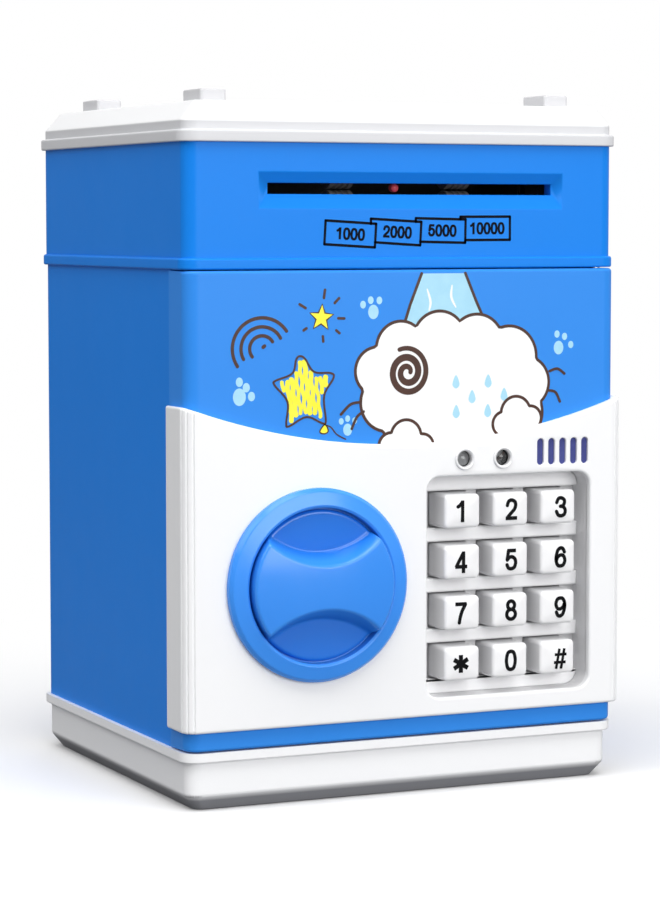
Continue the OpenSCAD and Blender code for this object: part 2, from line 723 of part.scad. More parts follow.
// Raised bars above, between and below the rows of keys
module keypad_bars() color(WHITE) difference() {
    bar_edge = key_h / 2 + 0.3;
    front_plate([tray_floor - bar_h, tray_floor]) recess_outline(0);
    for (i = [-1.5:1:1.5])
        block([0, 60], [tray_floor - bar_h - cut, tray_floor + cut],
              [keypad_z + i * key_pitch_z - bar_edge, keypad_z + i * key_pitch_z + bar_edge]);
}

module keypad_membrane() color(GREY) front_plate(membrane_y)
    translate([keypad_x, keypad_z]) round_rect(45.4, 56, 2);

module keypad_board() {
    color(GREEN) front_plate(board_y) translate([keypad_x, keypad_z]) square([45.8, 57], center = true);
}

// Two lamps, each in its own thin-walled collar
module led_lenses() for (x = led_x) {
    color(WHITE) difference() {
        rod_y(x, led_z, 2.75, [fascia_front, -55]);
        rod_y(x, led_z, led_r, [fascia_front - cut, -55 + cut]);
    }
    color("white") {
        rod_y(x, led_z, led_r, [fascia_front + 1.2, -54]);
        translate([x, fascia_front + 1.2, led_z]) sphere(led_r);
    }
}

module speaker() color(BLACK) {
    y0 = door_front + door_t;
    rod_y(46.5, 104, 13, [y0, y0 + 2]);
    translate([46.5, y0 + 2, 104]) rotate([-90, 0, 0]) cylinder(r1 = 12, r2 = 8, h = 3);
    rod_y(46.5, 104, 7, [y0 + 5, y0 + 8.5]);
}

module door_liner() color(BLUE) difference() {
    union() {
        block([-door_half_w + door_t, hinge_x - 0.6], [liner_front, liner_back],
              [door_z[0] + door_t, door_z[1] - door_t]);
        block([5, 56.5], [liner_front, hump_y], [24, 90]);
    }
    block([6.5, 55], [liner_front - cut, board_y[1]], [25.5, 88.5]);
    rod_y(knob_x, knob_z, shaft_r + fit, [liner_front - cut, liner_back + cut]);
    door_screw_places() rod_y(0, 0, screw_r + fit, [liner_front - cut, liner_back + cut]);
}

module door_screws() color(STEEL) door_screw_places()
    translate([0, liner_back, 0]) rotate([90, 0, 0]) screw(8, head = 2.4);

module hinge_pins() color(STEEL) for (z = [[8, door_z[0] + 13], [door_z[1] - 13, flange_z + 5.5]])
    rod_z(hinge_x, hinge_y, hinge_r, z);

// ---- knob, cam, bolt and lock ----

module knob() color(BLUE) difference() {
    union() {
        intersection() {
            rod_y(knob_x, knob_z, knob_r, [fascia_front - knob_dome - 1, knob_back]);
            translate([knob_x, fascia_front - knob_dome + knob_dome_r, knob_z])
                sphere(knob_dome_r, $fn = 200);
        }
        rod_y(knob_x, knob_z, shaft_r, [knob_back - 0.5, cam_y[0]]);
    }
    for (s = [-1, 1]) {
        depth = knob_dome + 1 - pit_floor;
        translate([knob_x, fascia_front - knob_dome - 1, knob_z + s * grip_offset]) rotate([-90, 0, 0])
            cylinder(r1 = grip_r + pit_slope, r2 = grip_r + pit_slope * (1 - depth), h = depth, $fn = 128);
    }
    rod_y(knob_x, knob_z, 1.2, [cam_y[0] - 9, cam_y[0] + cut]);
}

// Disc with the crank pin that drives the bolt
module knob_cam() color(GREY) {
    pin = crank_r * sin(45);
    difference() {
        rod_y(knob_x, knob_z, cam_r, cam_y);
        rod_y(knob_x, knob_z, 1.2, [cam_y[0] - cut, cam_y[1] + cut]);
        rod_y(knob_x, knob_z, 2.8, [cam_y[1] - 1.6, cam_y[1] + cut]);
    }
    rod_y(knob_x + pin, knob_z + pin, crank_pin_r, [cam_y[1] - 0.5, bolt_y[1] - 0.4]);
}

module knob_screw() color(STEEL) {
    rod_y(knob_x, knob_z, 1.2, [cam_y[0] - 8, cam_y[1] - 1.6]);
    rod_y(knob_x, knob_z, 2.5, [cam_y[1] - 1.6, cam_y[1] - 0.3]);
}

module latch_bolt() color(WHITE) difference() {
    front_plate(bolt_y) difference() {
        translate([bolt_x[0], bolt_z[0]]) square([bolt_x[1] - bolt_x[0], bolt_z[1] - bolt_z[0]]);
        // slot for the crank pin, high enough for its whole arc
        pin = crank_r * sin(45);
        translate([knob_x + pin - crank_pin_r - 0.35, knob_z + pin - crank_pin_r - 0.35])
            square([2 * crank_pin_r + 0.7, crank_r - pin + 2 * crank_pin_r + 0.7]);
        // notches for the lock plunger: open and locked
        for (x = [solenoid_x, solenoid_x + bolt_travel])
            translate([x - notch_w / 2, bolt_z[1] - notch_d]) square([notch_w, notch_d + cut]);
    }
    // bevelled nose
    translate([bolt_x[0], bolt_y[0], 0]) rotate(45) block([-1, 1], [-1, 1], [bolt_z[0] - 1, bolt_z[1] + 1]);
}

// Two bridges that the bolt slides through
module bolt_guides() color(BLUE) for (x = [[-52.5, -48.5], [-16.5, -12.6]]) difference() {
    block(x, [liner_back, bolt_y[1] + gap + 1.6], [bolt_z[0] - gap - 2, bolt_z[1] + gap + 2]);
    block([x[0] - cut, x[1] + cut], [bolt_y[0] - gap, bolt_y[1] + gap], [bolt_z[0] - gap, bolt_z[1] + gap]);
}

module lock_solenoid() color(GREY) difference() {
    block([solenoid_x - 6, solenoid_x + 6], [liner_back, plunger_y + 5], [bolt_z[1] + 4.8, bolt_z[1] + 22]);
    rod_z(solenoid_x, plunger_y, plunger_r + fit, [bolt_z[1] + 4, plunger_z[1] + 0.8]);
}

module lock_plunger() color(STEEL) rod_z(solenoid_x, plunger_y, plunger_r, plunger_z);

// ---- keys ----

// Moves the origin to key i, rows counted from the top
module at_key(i)
    translate([keypad_x + (i % 3 - 1) * key_pitch_x, 0, keypad_z + (1.5 - floor(i / 3)) * key_pitch_z])
        children();

module key(i) color(WHITE) at_key(i) {
    front_plate([fascia_front, key_back]) round_rect(key_w, key_h, 1.2);
    front_plate([key_back, key_back + key_flange]) square([key_w + 1.6, key_h + 1.6], center = true);
}

base_tray();
battery_contacts();
aa_cells();
battery_cover();
base_screws();
body_shell();
bolt_keeper();
wire_cover();
upper_housing();
housing_screws();
vault_ceiling();
feeder_frame();
feed_motor();
note_guide();
note_sensor();
coin_chute();
main_board();
top_lid();
lid_pads();
lid_screws();
drive_shaft();
drive_rollers();
drive_gear();
idler_shaft();
idler_rollers();
motor_pinion();
door_panel();
fascia();
knob_bezel();
keypad_frame();
keypad_plate();
keypad_bars();
keypad_membrane();
keypad_board();
led_lenses();
speaker();
door_liner();
door_screws();
hinge_pins();
bolt_guides();
lock_solenoid();
lock_plunger();
knob();
knob_cam();
knob_screw();
latch_bolt();
for (i = [0:11]) key(i);
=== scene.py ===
import bmesh
import bpy
import json
import math
from mathutils import Matrix, Vector
from mathutils.geometry import tessellate_polygon


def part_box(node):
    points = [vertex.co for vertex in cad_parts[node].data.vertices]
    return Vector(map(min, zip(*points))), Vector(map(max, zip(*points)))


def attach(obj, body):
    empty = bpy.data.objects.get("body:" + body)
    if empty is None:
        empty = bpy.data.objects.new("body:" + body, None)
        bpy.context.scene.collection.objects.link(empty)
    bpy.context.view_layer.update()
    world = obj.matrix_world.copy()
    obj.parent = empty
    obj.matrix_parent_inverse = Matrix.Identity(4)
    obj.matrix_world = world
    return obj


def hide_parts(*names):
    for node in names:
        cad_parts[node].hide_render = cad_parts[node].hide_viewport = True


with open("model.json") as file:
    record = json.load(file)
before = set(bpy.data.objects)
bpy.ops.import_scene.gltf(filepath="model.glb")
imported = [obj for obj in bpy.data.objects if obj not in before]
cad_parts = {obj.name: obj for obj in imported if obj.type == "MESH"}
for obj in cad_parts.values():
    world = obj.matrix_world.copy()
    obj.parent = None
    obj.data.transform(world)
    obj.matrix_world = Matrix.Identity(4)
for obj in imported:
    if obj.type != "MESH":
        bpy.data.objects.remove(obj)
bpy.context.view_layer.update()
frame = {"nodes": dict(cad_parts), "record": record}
nodes = frame["nodes"]
record = frame["record"]
slot_of = {row["node"]: row["material_slot"] for row in record["subparts"]}
MM = 0.001  # lengths and places below are in millimetres, and pieces are scaled by this


def limits(node):
    """Lowest and highest corner of a CAD node, in millimetres."""
    lo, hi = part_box(node)
    return lo / MM, hi / MM


# ---------------------------------------------------------------- materials

class Nodes:
    """Short names for building one material's node tree."""

    def __init__(self, name):
        self.mat = bpy.data.materials.new(name)
        self.mat.use_nodes = True
        self.tree = self.mat.node_tree
        self.shader = self.tree.nodes["Principled BSDF"]
        coords = self.tree.nodes.new("ShaderNodeTexCoord")
        self.place = coords.outputs["Object"]

    def link(self, a, b):
        self.tree.links.new(a, b)

    def stretched(self, x, y, z):
        node = self.tree.nodes.new("ShaderNodeMapping")
        node.inputs["Scale"].default_value = (x, y, z)
        self.link(self.place, node.inputs["Vector"])
        return node.outputs["Vector"]

    def noise(self, scale, detail=2.0, roughness=0.5, at=None):
        node = self.tree.nodes.new("ShaderNodeTexNoise")
        node.inputs["Scale"].default_value = scale
        node.inputs["Detail"].default_value = detail
        node.inputs["Roughness"].default_value = roughness
        self.link(at or self.place, node.inputs["Vector"])
        return node.outputs["Fac"]

    def voronoi(self, scale, feature="F1", at=None):
        node = self.tree.nodes.new("ShaderNodeTexVoronoi")
        node.feature = feature
        node.inputs["Scale"].default_value = scale
        self.link(at or self.place, node.inputs["Vector"])
        return node.outputs["Distance"]

    def spread(self, value, low, high, to_low, to_high):
        node = self.tree.nodes.new("ShaderNodeMapRange")
        self.link(value, node.inputs["Value"])
        for name, number in (("From Min", low), ("From Max", high), ("To Min", to_low), ("To Max", to_high)):
            node.inputs[name].default_value = number
        return node.outputs["Result"]

    def math(self, how, a, b):
        node = self.tree.nodes.new("ShaderNodeMath")
        node.operation = how
        for socket, value in zip(node.inputs, (a, b)):
            if isinstance(value, (int, float)):
                socket.default_value = value
            else:
                self.link(value, socket)
        return node.outputs[0]

    def blend(self, factor, a, b):
        node = self.tree.nodes.new("ShaderNodeMix")
        node.data_type = "RGBA"
        self.link(factor, node.inputs["Factor"])
        for socket, value in zip((node.inputs[6], node.inputs[7]), (a, b)):
            if isinstance(value, tuple):
                socket.default_value = (*value, 1)
            else:
                self.link(value, socket)
        return node.outputs[2]

    def bump(self, *layers):
        """Each layer is a height output and its depth in metres."""
        normal = None
        for height, depth in layers:
            node = self.tree.nodes.new("ShaderNodeBump")
            node.inputs["Distance"].default_value = depth
            self.link(height, node.inputs["Height"])
            if normal:
                self.link(normal, node.inputs["Normal"])
            normal = node.outputs["Normal"]
        self.link(normal, self.shader.inputs["Normal"])

    def colour(self, output):
        self.link(output, self.shader.inputs["Base Color"])

    def along(self, axis, start, end):
        """Nought at start, one at end, in millimetres along one axis of the object."""
        parts = self.tree.nodes.new("ShaderNodeSeparateXYZ")
        self.link(self.place, parts.inputs[0])
        return self.spread(parts.outputs[axis], start * MM, end * MM, 0.0, 1.0)

    def rough(self, output):
        self.link(output, self.shader.inputs["Roughness"])

    def put(self, **values):
        for name, value in values.items():
            self.shader.inputs[name.replace("_", " ")].default_value = value


def moulded(name, base, drift, rough, peel=2e-6, texture=0.0, level=0.5, painted_shade=None):
    """Injection-moulded plastic: slow drift of colour, uneven gloss and a mould's surface.

    The last argument, (axis, start, end, colour), paints shade: the plastic fades to that colour beyond an
    edge or deep in a recess, where less light falls.
    """
    n = Nodes(name)
    cloud = n.noise(28, 3, 0.55)
    speck = n.noise(420, 3, 0.6)
    colour = n.blend(n.math("ADD", n.spread(cloud, 0.3, 0.7, 0, 0.8), n.spread(speck, 0.4, 0.75, 0, 0.2)),
                     base, drift)
    # painted shade: a fade to a darker colour along one axis of the object
    if painted_shade:
        axis, start, end, shade_colour = painted_shade
        colour = n.blend(n.along(axis, start, end), colour, shade_colour)
    n.colour(colour)
    n.rough(n.math("ADD", n.spread(n.noise(90, 4, 0.6), 0.3, 0.7, rough - 0.02, rough + 0.03),
                   n.spread(speck, 0.5, 0.8, 0, 0.03)))
    layers = [(n.noise(45, 1), peel * 4), (n.noise(700, 2), peel)]
    if texture:
        layers.append((n.voronoi(2500), texture))
    n.bump(*layers)
    n.put(IOR=1.46, Specular_IOR_Level=level)
    return n.mat


def metal(name, base, drift, rough, along=(60, 60, 1800), anisotropy=0.4):
    """Drawn or machined metal with fine lines, dull spots and worn patches."""
    n = Nodes(name)
    lines = n.noise(1, 3, 0.6, n.stretched(*along))
    dull = n.noise(160, 4, 0.65)
    n.colour(n.blend(n.math("MULTIPLY", lines, n.spread(dull, 0.3, 0.75, 0.4, 1.4)), base, drift))
    n.rough(n.math("ADD", n.spread(lines, 0.3, 0.7, rough - 0.05, rough + 0.06),
                   n.spread(dull, 0.55, 0.8, 0, 0.14)))
    n.bump((lines, 8e-6), (n.noise(1500, 2), 4e-6))
    n.put(Metallic=1.0, Anisotropic=anisotropy)
    return n.mat


def rubber(name, base, drift):
    """Matt rubber or felt with a little dust."""
    n = Nodes(name)
    dust = n.noise(260, 5, 0.65)
    n.colour(n.blend(n.spread(dust, 0.35, 0.75, 0, 1), base, drift))
    n.rough(n.spread(n.noise(500, 3), 0.3, 0.7, 0.62, 0.82))
    n.bump((n.noise(1800, 3, 0.7), 2e-5))
    n.put(Specular_IOR_Level=0.35)
    return n.mat


def board(name):
    """Green solder mask with raised tracks under it."""
    n = Nodes(name)
    tracks = n.spread(n.voronoi(330, "DISTANCE_TO_EDGE", n.stretched(1, 1, 0.6)), 0.05, 0.09, 1, 0)
    n.colour(n.blend(tracks, n.blend(n.noise(60, 2), (0.006, 0.075, 0.03), (0.01, 0.11, 0.045)),
                     (0.03, 0.21, 0.07)))
    n.rough(n.spread(n.noise(300, 2), 0.3, 0.7, 0.28, 0.42))
    n.bump((tracks, 3e-5))
    n.put(Coat_Weight=0.3, Coat_Roughness=0.2)
    return n.mat


def jacket(name):
    """Plain metallised sleeve with a fine grain and a clear coat."""
    n = Nodes(name)
    grain = n.noise(1, 3, 0.5, n.stretched(900, 30, 30))
    n.colour(n.blend(grain, (0.62, 0.36, 0.06), (0.75, 0.47, 0.12)))
    n.rough(n.spread(grain, 0.3, 0.7, 0.2, 0.32))
    n.bump((n.noise(700, 2), 5e-6))
    n.put(Metallic=0.7, Coat_Weight=0.5, Coat_Roughness=0.08)
    return n.mat


def ink(name, base, drift, rough=0.32, level=0.3):
    """Pad-printed ink: slightly uneven cover with a faint screen."""
    n = Nodes(name)
    n.colour(n.blend(n.spread(n.noise(240, 4, 0.6), 0.35, 0.7, 0, 1), base, drift))
    n.rough(n.spread(n.noise(600, 2), 0.3, 0.7, rough - 0.04, rough + 0.06))
    n.bump((n.noise(1600, 2), 3e-6))
    n.put(IOR=1.46, Specular_IOR_Level=level)
    return n.mat


def clear(name, tint):
    """Clear plastic with slightly uneven gloss."""
    n = Nodes(name)
    n.colour(n.blend(n.noise(300, 2), tint, tuple(c * 0.96 for c in tint)))
    n.rough(n.spread(n.noise(400, 2), 0.3, 0.7, 0.05, 0.10))
    n.put(IOR=1.5, Transmission_Weight=0.9)
    return n.mat


POLISHED, BUFFED = 8e-7, 5e-7  # depth of two glossy moulds' surfaces, in metres
PLAIN_WHITE = (0.86, 0.865, 0.875), (0.872, 0.876, 0.885)
BLUE = moulded("blue_gloss", (0.008, 0.215, 0.77), (0.0095, 0.221, 0.785), 0.30, POLISHED, level=0.12)
# The door's blue is a little lighter than the housing's: a painted sheen.
DOOR_BLUE = moulded("blue_gloss_door", (0.032, 0.250, 0.78), (0.035, 0.257, 0.795), 0.30, POLISHED,
                    level=0.15)
# The knob's face darkens towards the floor of its hollows: painted shade.
KNOB_BLUE = moulded("blue_gloss_knob", (0.036, 0.255, 0.82), (0.039, 0.262, 0.84), 0.17, BUFFED,
                    painted_shade=("Y", -66.6, -62.8, (0.012, 0.165, 0.66)))
RING_BLUE = moulded("blue_gloss_ring", (0.040, 0.270, 0.85), (0.043, 0.277, 0.87), 0.20, BUFFED)
WHITE = moulded("white_gloss", *PLAIN_WHITE, 0.30, POLISHED, level=0.35)
# The sloping foot turns grey towards the floor: painted shade.
BASE_WHITE = moulded("white_gloss_base", (0.90, 0.905, 0.915), (0.912, 0.916, 0.925), 0.30, POLISHED,
                     level=0.35, painted_shade=("Z", 4.3, 2.8, (0.27, 0.275, 0.295)))
# Below the foot of its slope the lid is darker: painted shade, since the upright faces get less light than
# the slope and top.
LID_WHITE = moulded("white_gloss_lid", *PLAIN_WHITE, 0.34, POLISHED,
                    level=0.3, painted_shade=("Z", 185.0, 184.4, (0.64, 0.645, 0.665)))
SATIN = moulded("pale_satin", (0.74, 0.74, 0.75), (0.76, 0.76, 0.77), 0.40)
PAD = moulded("pad_satin", (0.56, 0.56, 0.58), (0.585, 0.585, 0.60), 0.45)
# The bars are lighter than the pale satin: painted light that makes up for the shade cast on them in the
# keypad.
BAR = moulded("bar_satin", (0.92, 0.92, 0.93), (0.94, 0.94, 0.95), 0.38)
# The keys' sides darken towards the back: painted shade deep in the keypad.
KEY = moulded("key_satin", (0.84, 0.84, 0.85), (0.87, 0.87, 0.875), 0.36,
              painted_shade=("Y", -60.3, -54.0, (0.56, 0.56, 0.57)))
INNER_BLUE = moulded("blue_matt", (0.010, 0.17, 0.66), (0.014, 0.19, 0.70), 0.50, texture=1.2e-5)
INNER_GREY = moulded("grey_matt", (0.085, 0.088, 0.095), (0.105, 0.108, 0.115), 0.55, texture=1.5e-5)
NYLON = moulded("nylon", (0.70, 0.68, 0.60), (0.76, 0.74, 0.67), 0.45, texture=6e-6)
BLACK = moulded("black_matt", (0.012, 0.012, 0.013), (0.02, 0.02, 0.021), 0.5, texture=1.5e-5)
STEEL = metal("zinc_steel", (0.56, 0.57, 0.59), (0.68, 0.68, 0.69), 0.27)
BRASS = metal("machined_brass", (0.72, 0.50, 0.20), (0.82, 0.62, 0.30), 0.22, (1500, 60, 60))
SILICONE = rubber("grey_rubber", (0.30, 0.285, 0.28), (0.36, 0.34, 0.335))
FELT = rubber("sound_felt", (0.045, 0.055, 0.22), (0.060, 0.070, 0.27))
BOARD = board("solder_mask")
JACKET = jacket("cell_sleeve")
FIGURE_INK = ink("figure_ink", (0.003, 0.003, 0.004), (0.008, 0.008, 0.009), 0.45, 0.08)
CARD_INK = ink("card_ink", (0.003, 0.004, 0.008), (0.006, 0.007, 0.012), 0.5, 0.05)

FINISH = {
    "blue_plastic": BLUE, "white_plastic": WHITE, "inner_blue_plastic": INNER_BLUE,
    "inner_grey_plastic": INNER_GREY, "keypad_plastic": SATIN, "key_plastic": KEY, "nylon": NYLON,
    "steel": STEEL, "brass": BRASS, "grey_rubber": SILICONE,
    "black_plastic": BLACK, "circuit_board": BOARD, "lamp_lens": WHITE, "cell_jacket": JACKET,
}
for name, obj in nodes.items():
    for i in range(max(1, len(obj.material_slots))):
        if not obj.material_slots:
            obj.data.materials.append(None)
        obj.material_slots[i].material = FINISH[slot_of[name]]


# ---------------------------------------------------------------- making pieces

def make(name, bm, mat, body, replaced=(), angle=38):
    """Turns a bmesh in millimetres into a smooth piece that rides on a body."""
    bmesh.ops.recalc_face_normals(bm, faces=bm.faces)
    bmesh.ops.scale(bm, vec=(MM, MM, MM), verts=bm.verts)
    mesh = bpy.data.meshes.new(name)
    bm.to_mesh(mesh)
    bm.free()
    mesh.shade_smooth()
    mesh.set_sharp_from_angle(angle=math.radians(angle))
    mesh.materials.append(mat)
    obj = bpy.data.objects.new(name, mesh)
    bpy.context.scene.collection.objects.link(obj)
    soften = obj.modifiers.new("soften", "WEIGHTED_NORMAL")
    soften.mode = "FACE_AREA_WITH_ANGLE"
    soften.keep_sharp = True
    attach(obj, body)
    if replaced:
        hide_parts(*replaced)


def copied(node):
    """A CAD node's shape in millimetres, with its flat faces whole again."""
    bm = bmesh.new()
    bm.from_mesh(nodes[node].data)
    bmesh.ops.scale(bm, vec=(1 / MM, 1 / MM, 1 / MM), verts=bm.verts)
    bmesh.ops.remove_doubles(bm, verts=bm.verts, dist=0.02)
    bmesh.ops.dissolve_limit(bm, angle_limit=math.radians(0.4), verts=bm.verts, edges=bm.edges)
    return bm


def fillet(bm, radius, wanted, segments=4):
    """Rounds the outer edges, sharper than 25 degrees, whose two ends both pass the test."""
    edges = [e for e in bm.edges
             if len(e.link_faces) == 2 and e.is_convex and e.calc_face_angle() > math.radians(25)
             and wanted(e.verts[0].co) and wanted(e.verts[1].co)]
    bmesh.ops.bevel(bm, geom=edges, offset=radius, offset_type="OFFSET", segments=segments, profile=0.5,
                    affect="EDGES", clamp_overlap=False)


def near(value, target, slack=0.06):
    return abs(value - target) < slack


def rounded(half_w, half_h, r, steps):
    """Corner-rounded rectangle about the origin, counter-clockwise."""
    points = []
    for sx, sy, start in ((1, 1, 0), (-1, 1, 90), (-1, -1, 180), (1, -1, 270)):
        for k in range(steps + 1):
            a = math.radians(start + 90 * k / steps)
            points.append(Vector((sx * (half_w - r) + r * math.cos(a), sy * (half_h - r) + r * math.sin(a))))
    return points


def around(steps):
    """Cosine and sine of equal steps round a circle."""
    return [(math.cos(2 * math.pi * k / steps), math.sin(2 * math.pi * k / steps)) for k in range(steps)]


def circle(r, steps=40):
    return [Vector((r * c, r * s)) for c, s in around(steps)]


def moved(loop, place):
    return [p + Vector(place) for p in loop]


def ring_quads(bm, rings):
    """Joins neighbouring rings of vertices with quads."""
    for a, b in zip(rings, rings[1:]):
        for i in range(len(a)):
            j = (i + 1) % len(a)
            bm.faces.new((a[i], a[j], b[j], b[i]))


def lathe(profile, centre, steps):
    """Turned piece about a line along Y through centre, which is (x, z).

    The profile's points are (radius, y). Its two ends are on the axis, or else they are joined.
    """
    bm = bmesh.new()
    rings = []
    for r, y in profile:
        if r < 1e-6:
            rings.append([bm.verts.new((centre[0], y, centre[1]))])
            continue
        rings.append([bm.verts.new((centre[0] + r * c, y, centre[1] + r * s)) for c, s in around(steps)])
    if len(rings[0]) > 1:
        rings.append(rings[0])
    for a, b in zip(rings, rings[1:]):
        for i in range(steps):
            j = (i + 1) % steps
            if len(a) == 1:
                bm.faces.new((a[0], b[j], b[i]))
            elif len(b) == 1:
                bm.faces.new((a[i], a[j], b[0]))
            else:
                bm.faces.new((a[i], a[j], b[j], b[i]))
    return bm


def turned_corner(profile, radii, steps=4):
    """Rounds the corners of an (r, y) profile, each by its own radius."""
    out = []
    count = len(profile)
    for i, (p, radius) in enumerate(zip(profile, radii)):
        p = Vector(p)
        if not radius:
            out.append(p)
            continue
        a, b = Vector(profile[(i - 1) % count]), Vector(profile[(i + 1) % count])
        to_a, to_b = (a - p).normalized(), (b - p).normalized()
        half = to_a.angle(to_b) / 2
        reach = min(radius / math.tan(half), (a - p).length * 0.49, (b - p).length * 0.49)
        start, end = p + to_a * reach, p + to_b * reach
        for k in range(steps + 1):
            t = k / steps
            out.append(start * (1 - t) ** 2 + p * 2 * t * (1 - t) + end * t ** 2)
    return out


# ---------------------------------------------------------------- mouldings with rounded edges

SHOULDER = 5.2  # a moulding's outer edges lie within this of its outermost planes
FOOT_Z, BEAD_Z = 4.1, 13.4  # top of the sloping foot and underside of the base's bead
FLANGE_H = 3.1
BODY_FRONT, SLOT_FRAME_DEPTH = -57.5, 2.0
SLOT_FRAME_X, SLOT_X = 2.2, 2.6


def outer(corner):
    """Test for points near the outside of a moulding whose highest corner is given."""
    return lambda v: abs(v.x) > corner.x - SHOULDER or abs(v.y) > corner.y - SHOULDER


def slot_edge(face_y, middle_x):
    """Test for points of the note slot's outline in one of its two upright planes."""
    return lambda v: near(v.y, face_y) and 160 < v.z < 174 and abs(v.x - middle_x) < 50


base_hi = limits("base_tray")[1]
house_lo, house_hi = limits("upper_housing")
lid_hi = limits("top_lid")[1]
door_lo, door_hi = limits("door_panel")
fascia_lo, fascia_hi = limits("fascia")

bm = copied("base_tray")
edge_of = outer(base_hi)
fillet(bm, 0.7, lambda v: near(v.z, base_hi.z) and (edge_of(v) and abs(v.x) > 62 or abs(v.y) > 54.6))
for level, radius in ((BEAD_Z, 0.5), (FOOT_Z, 0.8), (0, 0.5)):
    fillet(bm, radius, lambda v: near(v.z, level) and edge_of(v))
make("base_moulding", bm, BASE_WHITE, "case", ["base_tray"])

bm = copied("upper_housing")
edge_of = outer(house_hi)
for level, radius in ((house_lo.z + FLANGE_H, 0.7), (house_lo.z, 0.5)):
    fillet(bm, radius, lambda v: near(v.z, level) and edge_of(v))
fillet(bm, 0.25, slot_edge(BODY_FRONT, SLOT_FRAME_X), 3)
fillet(bm, 0.2, slot_edge(BODY_FRONT + SLOT_FRAME_DEPTH, SLOT_X), 3)
make("housing_moulding", bm, BLUE, "case", ["upper_housing"])


def soft_path(points, steps=4):
    """Points (inset, z, radius) of a moulding's section, with each corner rounded by its radius."""
    flat = turned_corner([(p[0], p[1]) for p in points], [p[2] for p in points], steps)
    return [(p[0], p[1]) for p in flat]


def stack(bm, path, half_w, half_d, r, centre=(0, 0)):
    """Rings of a rounded rectangle, each at its own inset and height."""
    rings = []
    for inset, z in path:
        rings.append([bm.verts.new((centre[0] + p.x, centre[1] + p.y, z))
                      for p in rounded(half_w - inset, half_d - inset, max(r - inset, 0.3), 10)])
    ring_quads(bm, rings)
    return rings


def plane_between(bm, loops, upright=False):
    """Level or upright flat face inside the first loop and outside the others."""
    verts = [v for loop in loops for v in loop]
    flat = [[(v.co.xz if upright else v.co.xy).to_3d() for v in loop] for loop in loops]
    for tri in tessellate_polygon(flat):
        bm.faces.new([verts[i] for i in tri])


LID_R, LID_LOW, LID_WALL, LID_ROOF = 5.26, 179.15, 3.46, 2.2
LID_BEAD, LID_BEAD_Z, LID_BAND_Z, LID_BEVEL = 1.26, 182.3, 184.9, 4.5
COIN_SLOT, COIN_PLACE = (17, 1.8), (0, 30)
PAD_PLACES = [(sx * 52.3, sy * 40.0) for sx in (-1, 1) for sy in (-1, 1)]
PAD_HALF = (3.8, 6.6)
HINGE, KNUCKLE_ROOM = Vector((61.05, -53.55)), 4.2


def lid_mesh():
    """Bead, band, slope and top outside, a plain shell inside, and the coin slot through both."""
    bm = bmesh.new()
    top, under = lid_hi.z, lid_hi.z - LID_ROOF
    hollow = [(LID_WALL, LID_LOW), (LID_WALL, LID_BAND_Z - 1), (LID_WALL + LID_BEVEL, under)]
    outside = [(LID_WALL, LID_LOW, 0), (0, LID_LOW, 0.45), (0, LID_BEAD_Z, 0.7), (LID_BEAD, LID_BEAD_Z, 0.25),
               (LID_BEAD, LID_BAND_Z, 0.8), (LID_BEAD + LID_BEVEL, top, 1.4), (8, top, 0)]
    mouth = [(-1.5, top, 0), (0, top, 0.5), (0, under, 0)]
    inner = stack(bm, hollow, lid_hi.x, lid_hi.y, LID_R)
    shell = stack(bm, soft_path(outside), lid_hi.x, lid_hi.y, LID_R)
    slot = stack(bm, soft_path(mouth), *COIN_SLOT, 0.3, COIN_PLACE)
    ring_quads(bm, [inner[0], shell[0]])
    plane_between(bm, [shell[-1], slot[0]])
    plane_between(bm, [inner[-1], slot[-1]])
    return bm


def door_edge(v):
    """Test for points of the door's outer edges at its top and foot, clear of the hinge's knuckles."""
    level = near(v.z, door_lo.z) or near(v.z, door_hi.z)
    outside = (abs(v.x) > 60 or v.y < -57) and v.y < door_hi.y - 0.5
    return level and outside and (v.xy - HINGE).length > KNUCKLE_ROOM


make("lid_moulding", lid_mesh(), LID_WHITE, "case", ["top_lid"])

bm = bmesh.new()
pads_top = limits("lid_pads")[1].z
for place in PAD_PLACES:
    side = [(0, lid_hi.z - 0.3, 0), (0, pads_top, 0.6), (1.6, pads_top, 0)]
    rings = stack(bm, soft_path(side, 5), *PAD_HALF, 1.0, place)
    bm.faces.new(rings[0])
    bm.faces.new(rings[-1])
make("lid_pad_caps", bm, PAD, "case", ["lid_pads"])

bm = copied("door_panel")
fillet(bm, 0.9, door_edge)
make("door_moulding", bm, DOOR_BLUE, "door", ["door_panel"])

make("keypad_rim", copied("keypad_frame"), SATIN, "door", ["keypad_frame"])
bm = copied("keypad_bars")
bar_front = limits("keypad_bars")[0].y
fillet(bm, 0.6, lambda v: near(v.y, bar_front))
make("keypad_bar_caps", bm, BAR, "door", ["keypad_bars"])


# ---------------------------------------------------------------- fascia

FRONT = fascia_lo.y
DIP_Z, ARC_R = 97.4, 194.0  # lowest point and radius of the fascia's upper edge
FASCIA_R, FASCIA_T, HINGE_SIDE_BACK = 4.0, 2.2, -49.2
FLUTES, FLUTE_R = (20, 45, 70), 0.36  # angles round each corner, and radius, of its grooves
RECESS = ((30.5, 57.4), (51.2, 61.4), 4.0)  # middle, size and corner of the keypad's opening
LAMP_X, LAMP_Z, LAMP_HOLE = (16.3, 28.25), 92.8, 2.75
GRILLE = [(47.2 + i * 3.52, 94.0) for i in (-2, -1, 0, 1, 2)]
GRILLE_HALF = (1.05, 3.7)


def arc_top(x):
    return DIP_Z + ARC_R - math.sqrt(ARC_R ** 2 - x * x)


def fluted_corner(steps=120):
    """Angle and reach, from the corner's centre, of points round one corner."""
    out = []
    for k in range(steps + 1):
        a = 90 * k / steps
        groove = 0.0
        for centre in FLUTES:
            arc = math.radians(abs(a - centre)) * FASCIA_R
            if arc < FLUTE_R:
                groove = max(groove, math.sqrt(FLUTE_R ** 2 - arc ** 2))
        out.append((a, FASCIA_R - groove))
    return out


